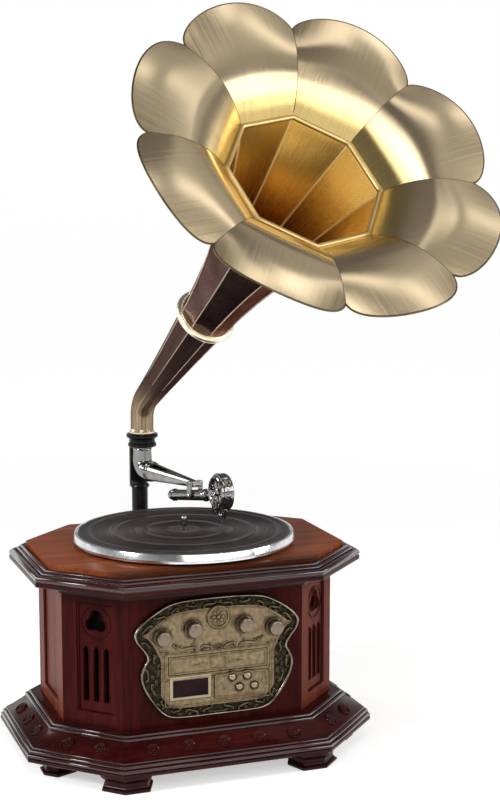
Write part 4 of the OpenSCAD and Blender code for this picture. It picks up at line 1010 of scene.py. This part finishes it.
drop = (socket_z - corners("needle")[0].z) / cos(radians(socket_lean))
needle = lathe([(0, -8.6), (1, -8.6), (1, 5 - drop), (0.55, 2.4 - drop), (0.2, -drop), (0, -drop)], 16)
add_piece("needle_ground", moved(needle, socket_place), "steel", "head", "needle")


# The horn: its own frame has Z along its axis

horn_yaw, horn_elev, horn_roll, bell_angle = 14.8, 39.5, -15.0, 5.8
meet_z = collar_top + 40
ring_s, ring_w, ring_r = 206.0, 10.0, 40.0
elbow_r, throat_r, crease_s, crease_r = 15.5, 33.0, 477.0, 99.0
sheet_t, half_gore = 1.4, radians(22.5)
flat_of = cos(half_gore)
elbow_place = shifted(swivel.x, swivel.y, 0) @ turned(horn_yaw, "Z")
horn_place = elbow_place @ shifted(0, 0, meet_z) @ turned(90 - horn_elev, "X")
bell_place = horn_place @ shifted(0, 0, crease_s) @ turned(-bell_angle, "Y") @ shifted(0, 0, -crease_s)
gore_turns = [horn_roll + 45 * k for k in range(8)]

bend_r, bend = 40.0, radians(90 - horn_elev)
bend_run = bend_r * tan(bend / 2)
elbow_z = collar_top + 0.2
elbow_steps, elbow_sides = 60, 64
seam_start, seam_run, seam_steps = 0.42, 0.57, 30
turn_length = bend_r * bend
low_length = meet_z - bend_run - elbow_z
elbow_length = low_length + turn_length + ring_s - bend_run


def elbow_spot(distance):
    """The middle of the elbow at a distance along it: forward, up and lean from upright."""
    if distance < low_length:
        return 0.0, elbow_z + distance, 0.0
    if distance < low_length + turn_length:
        a = (distance - low_length) / bend_r
        return bend_r * (1 - cos(a)), meet_z - bend_run + bend_r * sin(a), a
    s = bend_run + distance - low_length - turn_length
    return s * sin(bend), meet_z + s * cos(bend), bend


def facet_r(r, a, share):
    """A radius between a circle and an octagon of the same corner radius."""
    t = (a - radians(horn_roll)) % (pi / 4)
    return r * (1 - share + share * flat_of / cos(t - half_gore))


def elbow_ring(length_share, turns):
    """Points round the elbow at a share of its length; it is round at its foot and eight-sided at the ring."""
    distance = elbow_length * length_share
    forward, up, lean = elbow_spot(distance)
    share = min(1.0, max(0.0, (distance - low_length) / (elbow_length - low_length)))
    r = elbow_r + (throat_r - elbow_r) * share ** 1.25
    spots = [(facet_r(r, a, min(1.0, share * 1.6)), a) for a in map(radians, turns)]
    return [(q * cos(a), q * sin(a) * cos(lean) - forward, q * sin(a) * sin(lean) + up) for q, a in spots]


elbow_turns = [horn_roll + 360 * j / elbow_sides for j in range(elbow_sides)]
elbow_stops = [i / elbow_steps for i in range(elbow_steps + 1)]
elbow = loft([elbow_ring(stop, elbow_turns) for stop in elbow_stops])
elbow_marks = [(j / elbow_sides, elbow_length * stop * MM) for stop in elbow_stops for j in range(elbow_sides)]
ferrule = lathe(points_from(0, elbow_z, (13, -0.1), (16.6, 0), (17.4, 1), (17.4, 3), (16.4, 4), (16.0, 6),
                            (15.4, 6.6)), 56)
add_piece("elbow", moved(elbow, elbow_place), "elbow_bronze", "horn", "horn_elbow", sharp=24, uv=elbow_marks)
add_piece("elbow_foot", moved(ferrule, elbow_place), "pale_brass", "horn")
seam_shares = [i / seam_steps for i in range(seam_steps + 1)]
seams = [tube([elbow_ring(seam_start + seam_run * share, [turn])[0] for share in seam_shares],
              [0.3 + 0.6 * share for share in seam_shares], 8) for turn in gore_turns]
add_piece("elbow_seams", moved(joined(*seams), elbow_place), "seam_metal", "horn")

bead_r = ring_w / 2 + 1
ring = lathe([(throat_r - 2, -bead_r), (ring_r - bead_r, -bead_r)] + arc((ring_r - bead_r, 0), bead_r, -88, 88, 18)
             + [(ring_r - bead_r, bead_r), (throat_r - 2, bead_r)], 96, closed=True)
add_piece("ring", moved(ring, horn_place @ shifted(0, 0, ring_s)), "ring_brass", "horn", "horn_ring")


cone_straight = 0.37


def cone_r(s):
    """The corner radius of the horn between its ring and the crease."""
    x = max(0.0, s - ring_s - ring_w / 2) / (crease_s - ring_s - ring_w / 2)
    return throat_r + (crease_r - throat_r) * (cone_straight * x + (1 - cone_straight) * x * x)


cone_steps, facet_steps, facet_mark = 40, 6, 0.08
cone_stops = [ring_s + (crease_s - ring_s) * i / cone_steps for i in range(cone_steps + 1)]
inner_by = sheet_t / flat_of


def cone_corner(s, turn, inset_by):
    """A corner of the cone; its rings turn more and more from the axis to the bell's mouth."""
    spot = heading(turn) * (cone_r(s) - inset_by)
    ring_turn = radians(-bell_angle) * ((s - ring_s) / (crease_s - ring_s)) ** 2
    return Vector((spot.x * cos(ring_turn), spot.y, s - spot.x * sin(ring_turn)))


def cone_skin(inset_by):
    """Eight flat facets, and their points' places across and along the sheet."""
    rings, marks = [], []
    for s in cone_stops:
        points = []
        for k, turn in enumerate(gore_turns):
            a, b = cone_corner(s, turn, inset_by), cone_corner(s, turn + 45, inset_by)
            points += [a.lerp(b, j / facet_steps) for j in range(facet_steps)]
            marks += [((k + j / facet_steps) * facet_mark, s * MM) for j in range(facet_steps)]
        rings.append(points)
    return loft(rings), marks


def cone_seams(inset_by, r):
    return joined(*(tube([cone_corner(s, turn, inset_by) for s in cone_stops], r, 8) for turn in gore_turns))


outer_skin, outer_marks = cone_skin(0)
inner_skin, inner_marks = cone_skin(inner_by)
add_piece("cone", moved(outer_skin, horn_place), "horn_lacquer", "horn", "horn_cone", sharp=20, uv=outer_marks)
add_piece("cone_lining", moved(inner_skin, horn_place), "throat_brass", "horn", sharp=20, uv=inner_marks)
add_piece("cone_seams", moved(cone_seams(-0.2, 1.0), horn_place), "seam_metal", "horn")
add_piece("lining_seams", moved(cone_seams(inner_by + 0.1, 1.3), horn_place), "seam_gold", "horn")


# A petal's own frame: X away from the horn's axis, Y across

notch_r, petal_out, flare_depth, flare_ratio, petal_crown, seam_gap = 201.0, 40.0, 56.0, 2.2, 13.5, 0.1
flat_crease, flat_notch = (crease_r - inner_by) * flat_of, notch_r * flat_of
half_notch = flat_notch * tan(half_gore)
petal_rows, tip_rows, petal_across, turn_ratio = 36, 28, 28, 0.25
all_rows = petal_rows + tip_rows


def petal_line(row):
    """The distance of a row from the axis, and its half width."""
    if row <= petal_rows:
        flat = flat_crease + (flat_notch - flat_crease) * row / petal_rows
        return flat, flat * tan(half_gore) - seam_gap
    a = pi / 2 * (row - petal_rows) / tip_rows
    return flat_notch + petal_out * sin(a), (half_notch - seam_gap) * cos(a)


def settled(t, soft=0.12):
    """Rises with t and settles softly at 1."""
    return t - soft * log(1 + exp((t - 1) / soft))


def petal_spot(row, across, back=sheet_t / 2):
    """A point in a petal's sheet, in its middle if not told how far back; across runs from -1 to 1."""
    flat, half = petal_line(row)
    y = half * across
    t = (flat - flat_crease) / (flat_notch - flat_crease)
    slope = flare_depth * flare_ratio * exp(-flare_ratio * t)
    lean = min(1.0, t / turn_ratio) * atan2(flat_notch - flat_crease, slope)
    s = crease_s + flare_depth * (1 - exp(-flare_ratio * t)) - petal_crown * (settled(t) * y / half_notch) ** 2
    return Vector((flat + back * cos(lean), y, s - back * sin(lean)))


front_row = [(2 * j / petal_across - 1, 0.0) for j in range(petal_across + 1)]
sheet_row = front_row + [(across, sheet_t) for across, _ in reversed(front_row)]
petal_rings, petal_marks = [], []
for row in range(all_rows + 1):
    flat, half = petal_line(row)
    petal_rings.append([petal_spot(row, across, back) for across, back in sheet_row])
    petal_marks += [(across * half * MM, flat * MM) for across, _ in sheet_row]
petal = loft(petal_rings)
rolled = ([petal_spot(row, -1) for row in range(petal_rows, all_rows + 1)]
          + [petal_spot(row, 1) for row in range(all_rows - 1, petal_rows - 1, -1)])
seam_line = [petal_spot(row, 1) for row in range(1, petal_rows + 1)]
edge_wire = joined(tube(rolled, 1.15, 10), tube(seam_line, 0.85, 8))
for k, turn in enumerate(gore_turns, 1):
    place = bell_place @ turned(turn + 22.5, "Z")
    add_piece(f"petal_{k}", moved(petal, place), "petal_brass", "horn", f"horn_petal_{k}", sharp=50, uv=petal_marks)
    add_piece(f"petal_wire_{k}", moved(edge_wire, place), "rim_brass", "horn")
fold_r = 3.2
fold_at = crease_r - inner_by - 0.4 * fold_r
crease_line = []
for turn in gore_turns:
    a, b = (Vector((*(heading(t) * fold_at), crease_s + 0.2 * fold_r)) for t in (turn, turn + 45))
    crease_line += [a.lerp(b, j / 8) for j in range(8)]
add_piece("crease", moved(tube(crease_line, fold_r, 16, looped=True), bell_place), "fold_brass", "horn")


# Finishes of the CAD nodes that stay

finishes = {
    "mahogany": ["front_panel", "back_right_panel", "back_panel", "back_left_panel", "front_left_panel"],
    # The side boards take the copy of the mahogany with painted light
    "mahogany_painted_light": ["front_right_panel", "right_panel", "left_panel"],
    "veneer": ["top_board"], "raw_wood": ["base_board"], "cloth": ["speaker_cloths"],
    "display_glass": ["display_window"], "black_plastic": ["speakers", "power_inlet", "disc_tray"],
    "grey_plastic": ["tray_deck", "drive_wheel"], "circuit": ["control_board", "main_board"], "steel": ["motor"],
    "bearing_brass": ["motor_pulley", "platter_bearing"], "belt_rubber": ["drive_belt"]}
for look, nodes in finishes.items():
    for node in nodes:
        mesh = frame["nodes"][node].data
        mesh.materials.clear()
        mesh.materials.append(looks[look])


# Studio, in metres: floor, world, soft lights and the camera

floor_mesh = bpy.data.meshes.new("floor")
floor_half, near_glow, far_glow, near_end, far_start = 40.0, 0.5, 0.95, 0.5, 2.4
floor_outline = rectangle(-floor_half, -floor_half, floor_half, floor_half)
floor_mesh.from_pydata([(x, y, 0) for x, y in floor_outline], [], [(0, 1, 2, 3)])
floor = linked("floor", floor_mesh)
paper = new_material("floor_paper", Roughness=0.9, Emission_Color=(1, 1, 1, 1))
away = add_node(paper, "VectorMath", "Value", {0: coordinates(paper, "Object")}, operation="LENGTH")
share = rising(paper, away, near_end, far_start)
feed(paper, Base_Color=ramp(paper, blended(paper, share, noise(paper, 50), 0.04), (0.0, 0.87), (1.0, 0.1)))
ray = add_node(paper, "LightPath", 0, {}).node.outputs
seen = maths(paper, "MAXIMUM", ray["Is Camera Ray"], ray["Is Glossy Ray"])
seen = maths(paper, "MAXIMUM", seen, ray["Is Transmission Ray"])
level = add_node(paper, "MapRange", "Result", {"Value": share, "To Min": near_glow, "To Max": far_glow})
feed(paper, Emission_Strength=maths(paper, "MULTIPLY", seen, level))
floor_mesh.materials.append(paper)

front_azimuth = -70
world = bpy.data.worlds.new("studio")
bpy.context.scene.world = world
world.use_nodes = True
direction = coordinates(world, "Generated")
height = add_node(world, "SeparateXYZ", "Z", {"Vector": direction})
front = add_node(world, "VectorMath", "Value", {0: direction, 1: (*heading(front_azimuth), 0)}, operation="DOT_PRODUCT")
back_sky = ramp(world, height, (0.11, 1.0), (0.18, 0.38), (0.5, 0.2), (0.85, 0.12))
front_sky = ramp(world, height, (0.06, 1.0), (0.13, 0.2), (0.5, 0.13), (0.85, 0.12))
sky = mixed(world, rising(world, front, 0.1, 0.8), back_sky, front_sky)
world.node_tree.links.new(sky, world.node_tree.nodes["Background"].inputs["Color"])


def softbox(name, azimuth, elevation, distance, size, radiance, aim=(0.05, -0.15, 0.6)):
    """A soft light seen from a place, the horn's if not given, in a direction; 1 looks white."""
    aim, rise = Vector(aim), heading(elevation)
    place = aim + distance * Vector((*(heading(azimuth) * rise.x), rise.y))
    light = bpy.data.lights.new(name, "AREA")
    light.shape, light.energy = "RECTANGLE", radiance * pi * size[0] * size[1]
    light.size, light.size_y = size
    lamp = linked(name, light)
    lamp.location = place
    lamp.rotation_euler = (aim - place).to_track_quat("-Z", "Y").to_euler()
    lamp.visible_camera = False


softbox("front", -72, 22, 2.6, (3.8, 1.2), 2.5)
softbox("front_high", -113, 57, 2.3, (1.3, 0.75), 3.4)
softbox("right_tall", -4, 46, 2.4, (0.36, 0.75), 1.5, aim=(-0.08, -0.2, 0.82))
softbox("right_high", -18, 75, 2.2, (0.42, 0.5), 1.5, aim=(0.3, -0.25, 0.72))
softbox("right_wide", -12, 52, 2.6, (3.0, 1.4), 0.24)
softbox("right_low", -18, 12, 2.0, (0.7, 0.7), 8.0)
softbox("left_low", 140, 15, 2.0, (0.7, 0.7), 5.0)
softbox("left_strip", -169, 30, 2.0, (0.6, 0.4), 32.0, aim=(-0.17, -0.13, 0.2))

camera = linked("camera", bpy.data.cameras.new("camera"))
bpy.context.scene.camera = camera
camera.location = (-0.5991, -1.8898, 0.7196)
camera_down, camera_turn = 8.2, -20
camera.rotation_euler = (radians(90 - camera_down), 0, radians(camera_turn))
focal_px, image_h = 1600.0, 804.0
camera.data.sensor_width = 36.0
camera.data.lens = focal_px * camera.data.sensor_width / image_h
bpy.context.scene.view_settings.view_transform = "Standard"
